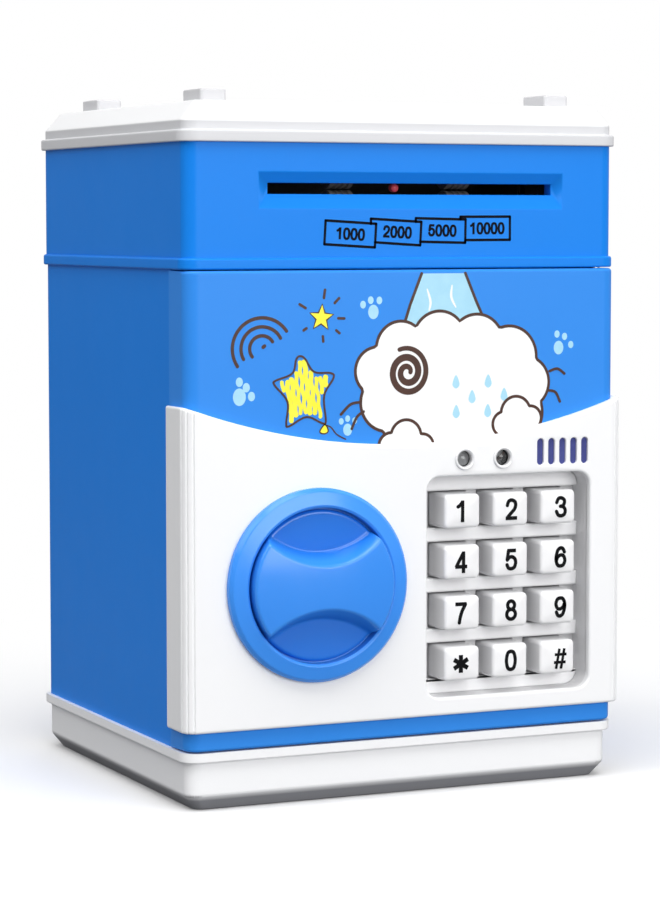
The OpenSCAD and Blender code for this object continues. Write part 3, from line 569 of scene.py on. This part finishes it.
def fascia_line(across=32):
    """The fascia's outer line from above, left rear to right rear, each point with its outward normal."""
    half, back, r = fascia_hi.x, fascia_hi.y, FASCIA_R
    line = [(-half, back, 180), (-half, (back + FRONT + r) / 2, 180)]
    for a, reach in fluted_corner():
        line.append((-half + r - reach * math.cos(math.radians(a)),
                     FRONT + r - reach * math.sin(math.radians(a)), 180 + a))
    for k in range(1, across):
        line.append((-half + r + 2 * (half - r) * k / across, FRONT, 270))
    for a, reach in reversed(fluted_corner()):
        line.append((half - r + reach * math.cos(math.radians(a)),
                     FRONT + r - reach * math.sin(math.radians(a)), 360 - a))
    line += [(half, (FRONT + r + HINGE_SIDE_BACK) / 2, 360), (half, HINGE_SIDE_BACK, 360)]
    return [(x, y, Vector((math.cos(math.radians(a)), math.sin(math.radians(a))))) for x, y, a in line]


def fascia_mesh():
    """The white front: a bent sheet with soft edges, its holes' rims and their walls to the back."""
    bm = bmesh.new()
    low, soft_low, soft_top, steps = fascia_lo.z, 0.8, 1.0, 5
    columns = []
    for x, y, out in fascia_line():
        column = []

        def put(inset, z):
            column.append(bm.verts.new((x - out.x * inset, y - out.y * inset, z)))
        for k in range(steps + 1):
            a = math.radians(90 * k / steps)
            put(soft_low * (1 - math.sin(a)), low + soft_low * (1 - math.cos(a)))
        for k in range(steps + 1):
            a = math.radians(90 * k / steps)
            inset = soft_top * (1 - math.cos(a))
            put(inset, arc_top(x - out.x * inset) - soft_top * (1 - math.sin(a)))
        put(FASCIA_T, arc_top(x - out.x * FASCIA_T))
        put(FASCIA_T, low)
        columns.append(column)
    rows = len(columns[0])
    front = [i for i, column in enumerate(columns) if near(column[steps].co.y, FRONT, 1e-4)]
    first, last = front[0], front[-1]
    for i in range(len(columns) - 1):
        for k in range(rows):
            j = (k + 1) % rows
            if first <= i < last and k in (steps, rows - 2):
                continue
            bm.faces.new((columns[i][k], columns[i + 1][k], columns[i + 1][j], columns[i][j]))
    bm.faces.new(columns[0])
    bm.faces.new(list(reversed(columns[-1])))
    # holes, each with the radius of its rounded rim
    middle, (wide, high), corner = RECESS
    shapes = [(moved(rounded(wide / 2, high / 2, corner, 10), middle), 0.7)]
    shapes += [(moved(circle(LAMP_HOLE), (x, LAMP_Z)), 0.35) for x in LAMP_X]
    shapes += [(moved(rounded(*GRILLE_HALF, 1.0499, 6), place), 0.3) for place in GRILLE]
    rims, backs = [], []
    for loop, soft in shapes:
        count = len(loop)
        away = []
        for i in range(count):
            t = loop[(i + 1) % count] - loop[i - 1]
            away.append(Vector((t.y, -t.x)).normalized())
        rings = []
        for k in range(steps + 1):
            a = math.radians(90 * k / steps)
            grow, y = soft * (1 - math.sin(a)), FRONT + soft * (1 - math.cos(a))
            rings.append([bm.verts.new((p.x + n.x * grow, y, p.y + n.y * grow)) for p, n in zip(loop, away)])
        rings.append([bm.verts.new((p.x, FRONT + FASCIA_T, p.y)) for p in loop])
        ring_quads(bm, rings)
        rims.append(rings[0])
        backs.append(rings[-1])
    for k, holes in ((steps, rims), (rows - 2, backs)):
        edge = [columns[i][k] for i in range(first, last + 1)]
        edge += [columns[i][(k + 1) % rows] for i in range(last, first - 1, -1)]
        plane_between(bm, [edge] + holes, upright=True)
    return bm


make("fascia_moulding", fascia_mesh(), WHITE, "door", ["fascia"])

bm = bmesh.new()
for x, z in GRILLE:
    rings = [[bm.verts.new((p.x + x, y, p.y + z)) for p in rounded(1.03, 3.68, 1.02, 6)]
             for y in (FRONT + 0.75, FRONT + 2.6)]
    ring_quads(bm, rings)
    bm.faces.new(rings[0])
    bm.faces.new(rings[-1])
make("sound_felt", bm, FELT, "door")


# ---------------------------------------------------------------- knob and its ring

KNOB, KNOB_R, KNOB_SOFT, SHAFT_R = (-28.4, 60.2), 20.6, 1.0, 3.8
DOME, DOME_R = 7.99, 107  # height of the grip's middle and radius of its face
HOLLOW_R, HOLLOW_Z = 27.2, 33.1  # the two hollows that leave the grip between them
PIT, PIT_RISE = 1.7, 0.3  # floor of the hollows at the middle, and its rise towards the rim
KNOB_BACK = 0.8
BEZEL_R, BEZEL_HOLE, BEZEL_IN, BEZEL_BACK = 26.4, 4.6, 21.2, 0.4


def soft_min(a, b, width):
    """The lower of two numbers, with a smooth change from one to the other."""
    h = max(0.0, width - abs(a - b)) / width
    return min(a, b) - h * h * width * 0.25


def soft_max(a, b, width):
    return -soft_min(-a, -b, width)


def knob_height(x, z):
    """How far the knob's face stands in front of the fascia."""
    dome = DOME - DOME_R + math.sqrt(DOME_R ** 2 - x * x - z * z)
    floor = PIT + PIT_RISE * (abs(z) / KNOB_R) ** 2
    reach = math.hypot(x, abs(z) - HOLLOW_Z)
    wall = 9.0 + (reach - (HOLLOW_R + 0.6)) / 0.5
    return soft_min(dome, soft_max(floor, wall, 0.8), 0.9)


def knob_mesh(rings=84, edge_steps=6):
    """Face, rounded edge, flat back and shaft of the knob, as rings about its axis."""
    bm = bmesh.new()
    spokes = around(288)
    flat_r = KNOB_R - KNOB_SOFT

    def vert(x, y, z):
        return bm.verts.new((KNOB[0] + x, y, KNOB[1] + z))
    middle = vert(0, FRONT - knob_height(0, 0), 0)
    verts = []
    for k in range(1, rings + 1):
        loop = [(flat_r * k / rings * c, flat_r * k / rings * s) for c, s in spokes]
        verts.append([vert(x, FRONT - knob_height(x, z), z) for x, z in loop])
    for k in range(1, edge_steps + 1):
        a = math.radians(90 * k / edge_steps)
        r, drop = flat_r + KNOB_SOFT * math.sin(a), KNOB_SOFT * (1 - math.cos(a))
        verts.append([vert(r * c, FRONT - max(knob_height(flat_r * c, flat_r * s) - drop, 1.0), r * s)
                      for c, s in spokes])
    for r, y in ((KNOB_R, FRONT - KNOB_BACK), (SHAFT_R, FRONT - KNOB_BACK), (SHAFT_R, FRONT - BEZEL_BACK),
                 (SHAFT_R, limits("knob")[1].y)):
        verts.append([vert(r * c, y, r * s) for c, s in spokes])
    for i, corner in enumerate(verts[0]):
        bm.faces.new((middle, corner, verts[0][(i + 1) % len(spokes)]))
    ring_quads(bm, verts)
    bm.faces.new(verts[-1])
    return bm


make("knob_grip", knob_mesh(), KNOB_BLUE, "knob", ["knob"], angle=60)

bezel = [(BEZEL_HOLE, FRONT), (BEZEL_R, FRONT), (BEZEL_R, FRONT - 1.5), (25.5, FRONT - 2.6),
         (21.9, FRONT - 3.6), (BEZEL_IN, FRONT - 3.2), (BEZEL_IN, FRONT - BEZEL_BACK),
         (BEZEL_HOLE, FRONT - BEZEL_BACK)]
bezel = turned_corner(bezel, (0, 0, 0.5, 0.7, 0.5, 0.4, 0.3, 0))
make("knob_ring", lathe(bezel, KNOB, 160), RING_BLUE, "door", ["knob_bezel"])


# ---------------------------------------------------------------- printing

def spline(points, closed=True, steps=8):
    """Smooth curve through given points."""
    points = [Vector(p) for p in points]
    count = len(points)
    out = []
    for i in range(count if closed else count - 1):
        a, b, c, d = (points[(i + k) % count] if closed else points[min(max(i + k, 0), count - 1)]
                      for k in (-1, 0, 1, 2))
        for j in range(steps):
            t = j / steps
            out.append(0.5 * (2 * b + (c - a) * t + (2 * a - 5 * b + 4 * c - d) * t * t
                              + (3 * b - a - 3 * c + d) * t ** 3))
    if not closed:
        out.append(points[-1])
    return out


class Print:
    """Thin closed shapes of one ink on an upright plane, a higher level lying over a lower one."""

    INK, LAYER, SUNK = 0.02, 0.014, 0.05

    def __init__(self, plane):
        self.bm = bmesh.new()
        self.plane = plane

    def depths(self, level):
        return self.plane - self.INK - self.LAYER * level, self.plane + self.SUNK

    def fill(self, loop, level):
        front, back = self.depths(level)
        a = [self.bm.verts.new((p[0], front, p[1])) for p in loop]
        b = [self.bm.verts.new((p[0], back, p[1])) for p in loop]
        for tri in tessellate_polygon([[Vector((p[0], p[1], 0)) for p in loop]]):
            self.bm.faces.new([a[i] for i in tri])
            self.bm.faces.new([b[i] for i in reversed(tri)])
        ring_quads(self.bm, [a, b])

    def line(self, points, width, level, closed=False, taper=0.0, flat=False):
        """A stroke with round or flat ends. taper thins it towards its two ends."""
        front, back = self.depths(level)
        points = [Vector(p) for p in points]
        count = len(points)
        rows = []
        for i, p in enumerate(points):
            if closed:
                t = points[(i + 1) % count] - points[i - 1]
            else:
                t = points[min(i + 1, count - 1)] - points[max(i - 1, 0)]
            t.normalize()
            share = 1 - taper * abs(2 * i / max(1, count - 1) - 1) ** 2
            rows.append((p, t, width / 2 * share))
        if not closed and not flat:
            (p, t, w), (q, u, v) = rows[0], rows[-1]
            ends = [(math.sin(math.radians(k)), math.cos(math.radians(k))) for k in (75, 50, 25)]
            rows = ([(p - t * w * s, t, w * c) for s, c in ends] + rows
                    + [(q + u * v * s, u, v * c) for s, c in reversed(ends)])
        rings = []
        for p, t, w in rows:
            side = Vector((-t.y, t.x)) * w
            l, r = p + side, p - side
            rings.append([self.bm.verts.new((l.x, front, l.y)), self.bm.verts.new((r.x, front, r.y)),
                          self.bm.verts.new((r.x, back, r.y)), self.bm.verts.new((l.x, back, l.y))])
        if closed:
            rings.append(rings[0])
        else:
            self.bm.faces.new(rings[0])
            self.bm.faces.new(rings[-1])
        ring_quads(self.bm, rings)

    def finish(self, name, mat, body):
        make(name, self.bm, mat, body)


def ellipse(centre, a, b, steps=36):
    return [(centre[0] + a * c, centre[1] + b * s) for c, s in around(steps)]


# Each stroke of a figure is (kind, points) on a square from -1 to 1. A curve, a loop or a corner is a
# smooth line. A straight stroke, the thin bars of the hash and the arms of the star have flat ends.
SIX = [(0.84, 0.55), (0.5, 0.92), (0.0, 1.0), (-0.6, 0.75), (-0.95, 0.05), (-0.92, -0.5), (-0.55, -0.92),
       (0.0, -1.0), (0.6, -0.88), (0.94, -0.4), (0.65, 0.1), (0.05, 0.22), (-0.6, 0.0), (-0.9, -0.4)]
FIGURES = {
    "0": [("loop", [(0, 1), (0.66, 0.8), (0.95, 0.0), (0.66, -0.8), (0, -1), (-0.66, -0.8), (-0.95, 0.0),
                    (-0.66, 0.8)])],
    "1": [("straight", [(0.25, 1.19), (0.25, -1.19)]),
          ("corner", [(0.1, 0.92), (-0.3, 0.66), (-0.72, 0.52)])],
    "2": [("curve", [(-0.9, 0.42), (-0.62, 0.85), (0.0, 1.0), (0.68, 0.82), (0.88, 0.42), (0.6, -0.02),
                     (-0.1, -0.45), (-0.66, -0.78), (-0.88, -1.0)]),
          ("straight", [(-1.22, -1.0), (1.2, -1.0)])],
    "3": [("curve", [(-0.9, 0.5), (-0.55, 0.9), (0.05, 1.0), (0.7, 0.78), (0.76, 0.4), (0.4, 0.12),
                     (-0.1, 0.06)]),
          ("curve", [(-0.1, 0.06), (0.55, -0.02), (0.96, -0.4), (0.75, -0.84), (0.1, -1.0), (-0.55, -0.9),
                     (-0.95, -0.5)])],
    "4": [("straight", [(0.48, 1.19), (0.48, -1.19)]),
          ("corner", [(0.4, 0.98), (-0.3, 0.3), (-1.0, -0.42)]),
          ("straight", [(-1.25, -0.48), (1.25, -0.48)])],
    "5": [("straight", [(-0.85, 1.0), (1.0, 1.0)]),
          ("corner", [(-0.62, 0.95), (-0.74, 0.5), (-0.88, 0.02)]),
          ("curve", [(-0.86, -0.02), (-0.4, 0.26), (0.2, 0.3), (0.78, 0.05), (0.92, -0.4), (0.62, -0.85),
                     (0.0, -1.0), (-0.6, -0.9), (-0.92, -0.55)])],
    "6": [("curve", SIX)],
    "7": [("straight", [(-1.2, 1.0), (1.15, 1.0)]),
          ("corner", [(0.9, 0.95), (0.2, 0.2), (-0.2, -0.5), (-0.35, -1.05)])],
    "8": [("loop", ellipse((0, 0.54), 0.74, 0.46, 20)), ("loop", ellipse((0, -0.46), 0.93, 0.54, 20))],
    "9": [("curve", [(-x, -y) for x, y in SIX])],
    "star": [("arm", [(1.48 * math.sin(a), 0.86 * math.cos(a)), (-1.48 * math.sin(a), -0.86 * math.cos(a))])
             for a in (0.0, math.radians(60), math.radians(120))],
    "hash": [("thin", [(-0.75, -0.95), (-0.15, 0.95)]), ("thin", [(0.15, -0.95), (0.75, 0.95)]),
             ("thin", [(-1.0, 0.4), (1.15, 0.4)]), ("thin", [(-1.15, -0.34), (1.0, -0.34)])],
}
STROKE_SHARE = {"thin": 0.62, "arm": 0.8}  # of the weight of an ordinary stroke


def write(ink_print, names, height, centre, weight, slant=0.0):
    """Writes figures in a row, as strokes of one weight."""
    half_h = (height - weight) / 2
    half_w, step = half_h * 0.58, height * 0.645
    turn = Matrix.Rotation(math.radians(slant), 2)
    level = 1.0
    for i, name in enumerate(names):
        shift = (i - (len(names) - 1) / 2) * step
        for kind, points in FIGURES[name]:
            placed = [Vector(centre) + turn @ Vector((shift + x * half_w, y * half_h)) for x, y in points]
            thick = weight * STROKE_SHARE.get(kind, 1)
            if kind in ("straight", "thin", "arm"):
                start, end = placed
                ink_print.line([start, start.lerp(end, 0.5), end], thick, level, flat=True)
            elif kind == "loop":
                ink_print.line(spline(placed, True, 5), thick, level, closed=True)
            else:
                ink_print.line(spline(placed, False, 6), thick, level)
            level += 0.25


# ---------------------------------------------------------------- keys

KEY_HALF, KEY_FLANGE_HALF, KEY_FLANGE_T = (5.6, 4.8), (6.4, 5.6), 0.8
KEY_SOFT, KEY_DRAFT, KEY_CROWN = 0.9, 0.12, 0.25


def key_mesh(node, steps=5):
    """Key with a flange behind, drafted sides, a soft edge and a slightly domed face."""
    lo, hi = limits(node)
    x, z = (lo.x + hi.x) / 2, (lo.z + hi.z) / 2
    bm = bmesh.new()
    half_w, half_h = KEY_HALF
    step_y = hi.y - KEY_FLANGE_T
    rows = [(*KEY_FLANGE_HALF, 0.4, hi.y), (*KEY_FLANGE_HALF, 0.4, step_y), (half_w, half_h, 1.2, step_y),
            (half_w - KEY_DRAFT, half_h - KEY_DRAFT, 1.2, lo.y + KEY_CROWN + KEY_SOFT)]
    for k in range(1, steps + 1):
        a = math.radians(90 * k / steps)
        inset = KEY_DRAFT + KEY_SOFT * (1 - math.cos(a))
        rows.append((half_w - inset, half_h - inset, max(1.3 - inset * 0.35, 0.5),
                     lo.y + KEY_CROWN + KEY_SOFT * (1 - math.sin(a))))
    rows.append((half_w - 2.2, half_h - 2.2, 0.8, lo.y + 0.06))
    rows.append((half_w - 3.4, half_h - 3.4, 0.6, lo.y))
    rings = [[bm.verts.new((x + p.x, y, z + p.y)) for p in rounded(w, h, r, 6)] for w, h, r, y in rows]
    ring_quads(bm, rings)
    bm.faces.new(rings[0])
    bm.faces.new(rings[-1])
    return bm, (x, z), lo.y


for node in [n for n in nodes if n.startswith("key_")]:
    mark = node.removeprefix("key_")
    bm, centre, face_y = key_mesh(node)
    make("cap_" + mark, bm, KEY, node, [node])
    figure = Print(face_y)
    # the figure's height and weight, and how far it sits right of and below the middle of the key
    height, weight = {"hash": (7.3, 1.3), "star": (7.4, 1.6)}.get(mark, (6.1, 1.04))
    right, down = (0.8, 0.5) if mark == "hash" else (0.1 + (centre[0] - 31.0) * 0.04, 0)
    write(figure, [mark], height, (centre[0] + right, centre[1] - down), weight)
    figure.finish("figure_" + mark, FIGURE_INK, node)


# ---------------------------------------------------------------- lamps and sensor

LENS = clear("lamp_clear", (0.40, 0.41, 0.42))
CUP = metal("lamp_cup", (0.06, 0.06, 0.065), (0.20, 0.20, 0.21), 0.25, (900, 900, 900), 0.0)
RING = moulded("lamp_ring", (0.80, 0.80, 0.81), (0.83, 0.83, 0.84), 0.25, level=0.5)
LENS_R, CUP_R = 2.1, 2.24
# outlines of the lamps' white rims, clear domes and dark cups, and then the sensor's, as (radius, y)
collar = turned_corner([(2.25, -56), (2.74, -56), (2.74, FRONT - 0.01), (3.1, FRONT - 0.01),
                        (3.0, FRONT - 0.55), (2.6, FRONT - 0.64), (2.2, FRONT - 0.1)],
                       (0, 0, 0, 0.1, 0.3, 0.3, 0.2))
dome = [(0, FRONT + 0.4)]
for angle in range(12, 91, 12):
    dome.append((LENS_R * math.sin(math.radians(angle)), FRONT + 1.9 - 1.5 * math.cos(math.radians(angle))))
dome += [(LENS_R, -57.2), (1.2, -57.0), (0, -57.0)]
cup = [(0, -55.7), (0.9, -55.7), (CUP_R, -59.6), (CUP_R, -55.1), (0, -55.1)]
for i, x in enumerate(LAMP_X):
    make(f"lamp_collar_{i}", lathe(collar, (x, LAMP_Z), 64), RING, "door", ["led_lenses"])
    make(f"lamp_lens_{i}", lathe(dome, (x, LAMP_Z), 48), LENS, "door")
    make(f"lamp_cup_{i}", lathe(cup, (x, LAMP_Z), 48), CUP, "door")

SENSOR = (-1.0, 167.2)
lens = [(0, -52.5), (0.6, -52.35), (1.05, -52.0), (1.15, -51.5), (1.15, -50.4), (0, -50.4)]
sensor_red = ink("sensor_red", (0.50, 0.05, 0.06), (0.58, 0.07, 0.08), 0.25)
sensor_shader = sensor_red.node_tree.nodes["Principled BSDF"]
# A faint painted glow: the sensor's red lens is no lamp.
sensor_shader.inputs["Emission Color"].default_value = (1.0, 0.12, 0.16, 1)
sensor_shader.inputs["Emission Strength"].default_value = 0.03
make("sensor_lens", lathe(lens, SENSOR, 32), sensor_red, "case")


# ---------------------------------------------------------------- print on the front

def star(centre, big, small, turn):
    """Ten corners of a five-pointed star."""
    out = []
    for k in range(10):
        r, a = small if k % 2 else big, math.radians(36 * k + turn)
        out.append(Vector(centre) + Vector((r * math.sin(a), r * math.cos(a))))
    return out


def inside(p, loop):
    """Whether a point is inside a closed line."""
    hit = False
    for i in range(len(loop)):
        a, b = loop[i - 1], loop[i]
        if (a[1] > p[1]) != (b[1] > p[1]) and p[0] < (b[0] - a[0]) * (p[1] - a[1]) / (b[1] - a[1]) + a[0]:
            hit = not hit
    return hit


def puffs(centre, rounds, steps=220):
    """Outline of overlapping discs, as seen from a point inside them."""
    out = []
    for d in circle(1, steps):
        reach = 0.0
        for x, z, r in rounds:
            m = Vector((x, z)) - Vector(centre)
            along = m.dot(d)
            off = r * r - (m.length_squared - along * along)
            if off > 0:
                reach = max(reach, along + math.sqrt(off))
        out.append(Vector(centre) + d * reach)
    return out


brown, sky, white, yellow = (Print(door_lo.y) for _ in range(4))
LINE = 0.85  # width of the drawn outlines

# pale hill that rises behind the cloud, cut off by the top of the door
peak = [(-3.4, 124.0), (0.4, 135.4), (3.9, 143.9), (17.3, 143.9), (20.6, 136.4), (25.6, 126), (10, 120)]
sky.fill(peak, 1)
brown.line([peak[2], peak[1], peak[0]], LINE, 2)
brown.line([peak[3], peak[4], peak[5]], LINE, 2)
for slope in ([(5.6, 139.6), (6.6, 136.2), (6.2, 133.8)], [(13.2, 140.6), (13.0, 137.4), (14.4, 134.6)]):
    white.line(spline(slope, False), 0.7, 2, taper=0.5)

# cloud with two small ones in front of it
cloud = puffs((14, 112), [(-9.5, 117.5, 6.6), (-2.4, 123.6, 7.4), (9.4, 125.4, 8.2), (20.9, 124.2, 8.4),
                          (31.0, 120.6, 8.6), (36.4, 113.4, 7.2), (33.0, 105.0, 8.6), (-6.5, 109.0, 8.0),
                          (4, 104, 12), (20, 103, 13)])
white.fill(cloud, 3)
brown.line(cloud, LINE, 4, closed=True)
for middle, rounds in (
        ((-2.0, 98.0), [(-5.4, 97.0, 3.6), (-0.8, 99.4, 4.6), (4.2, 96.6, 3.4), (0, 95, 5)]),
        ((33.6, 103.4), [(29.4, 102.0, 3.4), (33.2, 105.0, 4.6), (37.8, 103.4, 3.4), (33.4, 101, 5)])):
    low = puffs(middle, rounds)
    white.fill(low, 5)
    brown.line(low, LINE, 6, closed=True)

# swirl, rain drops and wisps of wind
swirl = []
for k in range(112):
    r, a = 0.9 + 0.295 * k / 6, math.radians(k * 7.5)
    swirl.append((-0.4 + r * math.cos(a), 117.0 + r * 1.06 * math.sin(a)))
brown.line(swirl, 1.9, 7, taper=0.35)
for x, z in ((14.5, 113.6), (19.5, 109.4), (24.5, 113.6), (29.5, 109.8), (14.6, 105.4), (24.4, 105.4)):
    drop = spline([(x, z + 2.3), (x + 1.1, z - 0.2), (x, z - 1.4), (x - 1.1, z - 0.2)], True, 6)
    sky.fill(drop, 5)
for breeze in ([(-20.4, 106.0), (-17.6, 108.6), (-14.6, 109.2)],
               [(-17.2, 102.0), (-15.6, 105.2), (-13.6, 106.6)],
               [(43.9, 116.4), (46.4, 117.0), (48.6, 115.6)],
               [(43.6, 111.0), (45.8, 110.4), (47.2, 107.8)]):
    brown.line(spline(breeze, False), 0.75, 7)

# small star with a burst of dashes
SPARK = Vector((-26.2, 132.2))
spark = star(SPARK, 3.7, 1.65, 4)
yellow.fill(spark, 2)
brown.line(spark, 0.45, 3, closed=True)
for a, near_r, far_r in ((8, 5.4, 7.6), (45, 5.6, 7.4), (92, 5.0, 6.8), (128, 5.6, 6.8), (175, 5.0, 6.4),
                         (238, 5.2, 6.2), (300, 5.4, 7.4)):
    d = Vector((math.sin(math.radians(a)), math.cos(math.radians(a))))
    brown.line([SPARK + d * near_r, SPARK + d * far_r], 0.75, 3)

# big star coloured in by hand, its knot and its string
big = spline([(-32.4, 122.0), (-31.0, 121.2), (-28.4, 117.7), (-23.6, 117.3), (-22.6, 116.0), (-25.4, 111.2),
              (-24.9, 104.4), (-26.0, 103.8), (-30.6, 105.6), (-35.8, 103.2), (-36.6, 104.2), (-36.2, 109.8),
              (-40.0, 114.4), (-39.6, 115.6), (-34.8, 117.4), (-33.6, 121.2)], True, 6)
PEN_ROOM = ((0.9, 0), (-0.9, 0), (0, 1.1), (0, -1.1))  # room that a pen stroke keeps round it
for k in range(13):
    shift = -40.4 + 1.42 * k
    run = []
    for j in range(90):
        z = 102.5 + 0.22 * j
        x = shift + (z - 103) * -0.13 + 0.16 * math.sin(j * 0.31 + k * 2.1)
        if all(inside((x + dx, z + dz), big) for dx, dz in PEN_ROOM):
            run.append((x, z))
    if len(run) > 4:
        cut = (k * 7) % 4
        yellow.line(run[cut:len(run) - (k * 5) % 3], 1.28 + 0.22 * math.sin(k * 1.7), 2 + k % 3)
brown.line(big, 0.55, 6, closed=True)
knot = spline([(-25.2, 103.4), (-24.2, 101.6), (-25.4, 100.9), (-26.7, 101.5)], True, 5)
yellow.fill(knot, 5)
brown.line(knot, 0.35, 6, closed=True)
brown.line(spline([(-25.0, 103.2), (-23.4, 102.6), (-21.6, 100.6), (-19.0, 99.2)], False), 0.35, 6)

# rings of a rainbow doodle in the upper left
for r, start, end in ((8.6, 34, 218), (6.1, 28, 210), (3.6, 32, 222)):
    brown.line([(-43.6 + r * math.cos(math.radians(a)), 124.2 + r * math.sin(math.radians(a)) * 0.96)
                for a in range(start, end, 6)], 0.95, 3)
brown.line([(-43.3, 124.6), (-42.9, 124.9)], 1.0, 3)

# paw prints
for x, z, size, toes in ((-10.7, 133.6, 1.0, ((-3.1, 2.0), (-0.8, 3.2), (1.8, 3.1))),
                         (46.7, 122.9, 0.98, ((-0.5, 3.8), (1.9, 3.1), (3.9, 0.8))),
                         (-50.2, 111.4, 1.2, ((0.0, 4.0), (2.0, 2.5), (3.5, 0.1))),
                         (-18.4, 101.8, 0.85, ((-1.9, 2.3), (0.0, 3.0), (2.1, 2.4)))):
    sky.fill(ellipse((x, z), 1.55 * size, 1.95 * size), 1)
    for dx, dz in toes:
        sky.fill(ellipse((x + dx, z + dz), 0.85 * size, 1.05 * size), 1)

brown.finish("print_brown", ink("brown_ink", (0.055, 0.020, 0.012), (0.072, 0.027, 0.016)), "door")
sky.finish("print_sky", ink("sky_ink", (0.36, 0.66, 0.83), (0.40, 0.70, 0.86)), "door")
white.finish("print_white", ink("white_ink", (0.88, 0.88, 0.885), (0.92, 0.92, 0.925)), "door")
yellow.finish("print_yellow", ink("yellow_ink", (0.93, 0.84, 0.035), (0.95, 0.87, 0.06)), "door")

# four number cards above the flange, each tucked behind the one on its left
cards = Print(BODY_FRONT)
CARD_HALF_H = 3.2
edge_before = None
for value, x, z, w, slant in (("1000", -17.0, 154.7, 15.1, -3.4), ("2000", -3.4, 155.2, 15.3, -3.2),
                              ("5000", 10.3, 155.6, 15.3, -1.2), ("10000", 24.1, 156.2, 15.4, 0.2)):
    turn = Matrix.Rotation(math.radians(slant), 2)
    low_left, low_right, top_right, top_left = [
        Vector((x, z)) + turn @ Vector((sx * w / 2, sz * CARD_HALF_H))
        for sx, sz in ((-1, -1), (1, -1), (1, 1), (-1, 1))]
    runs = [(low_right, top_right), (top_right, top_left)]
    if edge_before is None:
        runs += [(top_left, low_left), (low_left, low_right)]
    else:
        runs += [(top_left, top_left + Vector((0, edge_before[1] - top_left.y))),
                 (Vector((edge_before[0], low_left.y)), low_right)]
    for a, b in runs:
        cards.line([a, a.lerp(b, 0.5), b], 0.72, 1)
    edge_before = (low_right.x, top_right.y)
    write(cards, value, 3.4, (x + (0 if value == "1000" else 0.55), z), 0.68, slant)
cards.finish("card_print", CARD_INK, "case")


# ---------------------------------------------------------------- studio

def floor_mesh():
    bm = bmesh.new()
    bmesh.ops.create_grid(bm, x_segments=2, y_segments=2, size=6)
    mesh = bpy.data.meshes.new("studio_floor")
    bm.to_mesh(mesh)
    bm.free()
    return mesh


# the camera sees a white floor that fades to pure white, and the object gets a darker bounce from it
floor = bpy.data.objects.new("studio_floor", floor_mesh())
bpy.context.scene.collection.objects.link(floor)
n = Nodes("studio_white")
n.put(Roughness=0.7, Specular_IOR_Level=0.1)
away = n.tree.nodes.new("ShaderNodeVectorMath")
away.operation = "LENGTH"
n.link(n.place, away.inputs[0])
path = n.tree.nodes.new("ShaderNodeLightPath")
n.colour(n.blend(path.outputs["Is Camera Ray"], (0.23, 0.23, 0.237), (0.88, 0.88, 0.885)))
glow = n.tree.nodes.new("ShaderNodeEmission")
glow.inputs["Color"].default_value = (1, 1, 1, 1)
mix = n.tree.nodes.new("ShaderNodeMixShader")
n.link(n.math("MULTIPLY", n.spread(away.outputs["Value"], 0.10, 0.32, 0, 1), path.outputs["Is Camera Ray"]),
       mix.inputs["Fac"])
n.link(n.shader.outputs[0], mix.inputs[1])
n.link(glow.outputs[0], mix.inputs[2])
n.link(mix.outputs[0], n.tree.nodes["Material Output"].inputs["Surface"])
floor.data.materials.append(n.mat)

# the world is white to the camera, and lights the object more from the front, the right and above
world = bpy.data.worlds.new("studio")
bpy.context.scene.world = world
world.use_nodes = True
tree = world.node_tree
tree.nodes.clear()
out = tree.nodes.new("ShaderNodeOutputWorld")
seen = tree.nodes.new("ShaderNodeBackground")
seen.inputs["Color"].default_value = (1, 1, 1, 1)
lit = tree.nodes.new("ShaderNodeBackground")
coords = tree.nodes.new("ShaderNodeTexCoord")
dot = tree.nodes.new("ShaderNodeVectorMath")
dot.operation = "DOT_PRODUCT"
BRIGHT_SIDE = (0.55, -0.62, 0.56)
dot.inputs[1].default_value = BRIGHT_SIDE
ramp = tree.nodes.new("ShaderNodeMapRange")
for name, number in (("From Min", -0.9), ("From Max", 0.9), ("To Min", 0.30), ("To Max", 0.80)):
    ramp.inputs[name].default_value = number
lamp_path = tree.nodes.new("ShaderNodeLightPath")
choose = tree.nodes.new("ShaderNodeMixShader")
tree.links.new(coords.outputs["Generated"], dot.inputs[0])
tree.links.new(dot.outputs["Value"], ramp.inputs["Value"])
tree.links.new(ramp.outputs["Result"], lit.inputs["Strength"])
tree.links.new(lamp_path.outputs["Is Camera Ray"], choose.inputs["Fac"])
tree.links.new(lit.outputs[0], choose.inputs[1])
tree.links.new(seen.outputs[0], choose.inputs[2])
tree.links.new(choose.outputs[0], out.inputs["Surface"])


def softbox(name, place, target, size, power):
    """Rectangular light, with places and sizes in metres."""
    light = bpy.data.lights.new(name, "AREA")
    light.shape = "RECTANGLE"
    light.size, light.size_y = size
    light.energy = power
    obj = bpy.data.objects.new(name, light)
    bpy.context.scene.collection.objects.link(obj)
    obj.location = place
    obj.rotation_euler = (Vector(target) - Vector(place)).to_track_quat("-Z", "Y").to_euler()


softbox("key_light", (-0.15, -0.50, 1.30), (0, 0, 0.09), (1.0, 1.0), 12.5)
softbox("front_light", (0.35, -1.60, 0.45), (0, 0, 0.10), (1.1, 0.8), 12.6)
softbox("side_light", (-1.0, -0.10, 1.0), (0, 0, 0.08), (0.8, 0.8), 5.6)
softbox("back_light", (0.6, 1.0, 0.8), (0, 0, 0.1), (0.7, 0.7), 1.6)

camera = bpy.data.objects.new("camera", bpy.data.cameras.new("camera"))
bpy.context.scene.collection.objects.link(camera)
camera.data.lens = 115.7
camera.data.sensor_width = 36
camera.data.clip_start = 0.02
camera.location = (-0.3487, -0.7678, 0.1575)
camera.rotation_euler = (math.radians(90 - 4.476), 0, math.radians(-24.63))
bpy.context.scene.camera = camera
bpy.context.scene.view_settings.view_transform = "Standard"
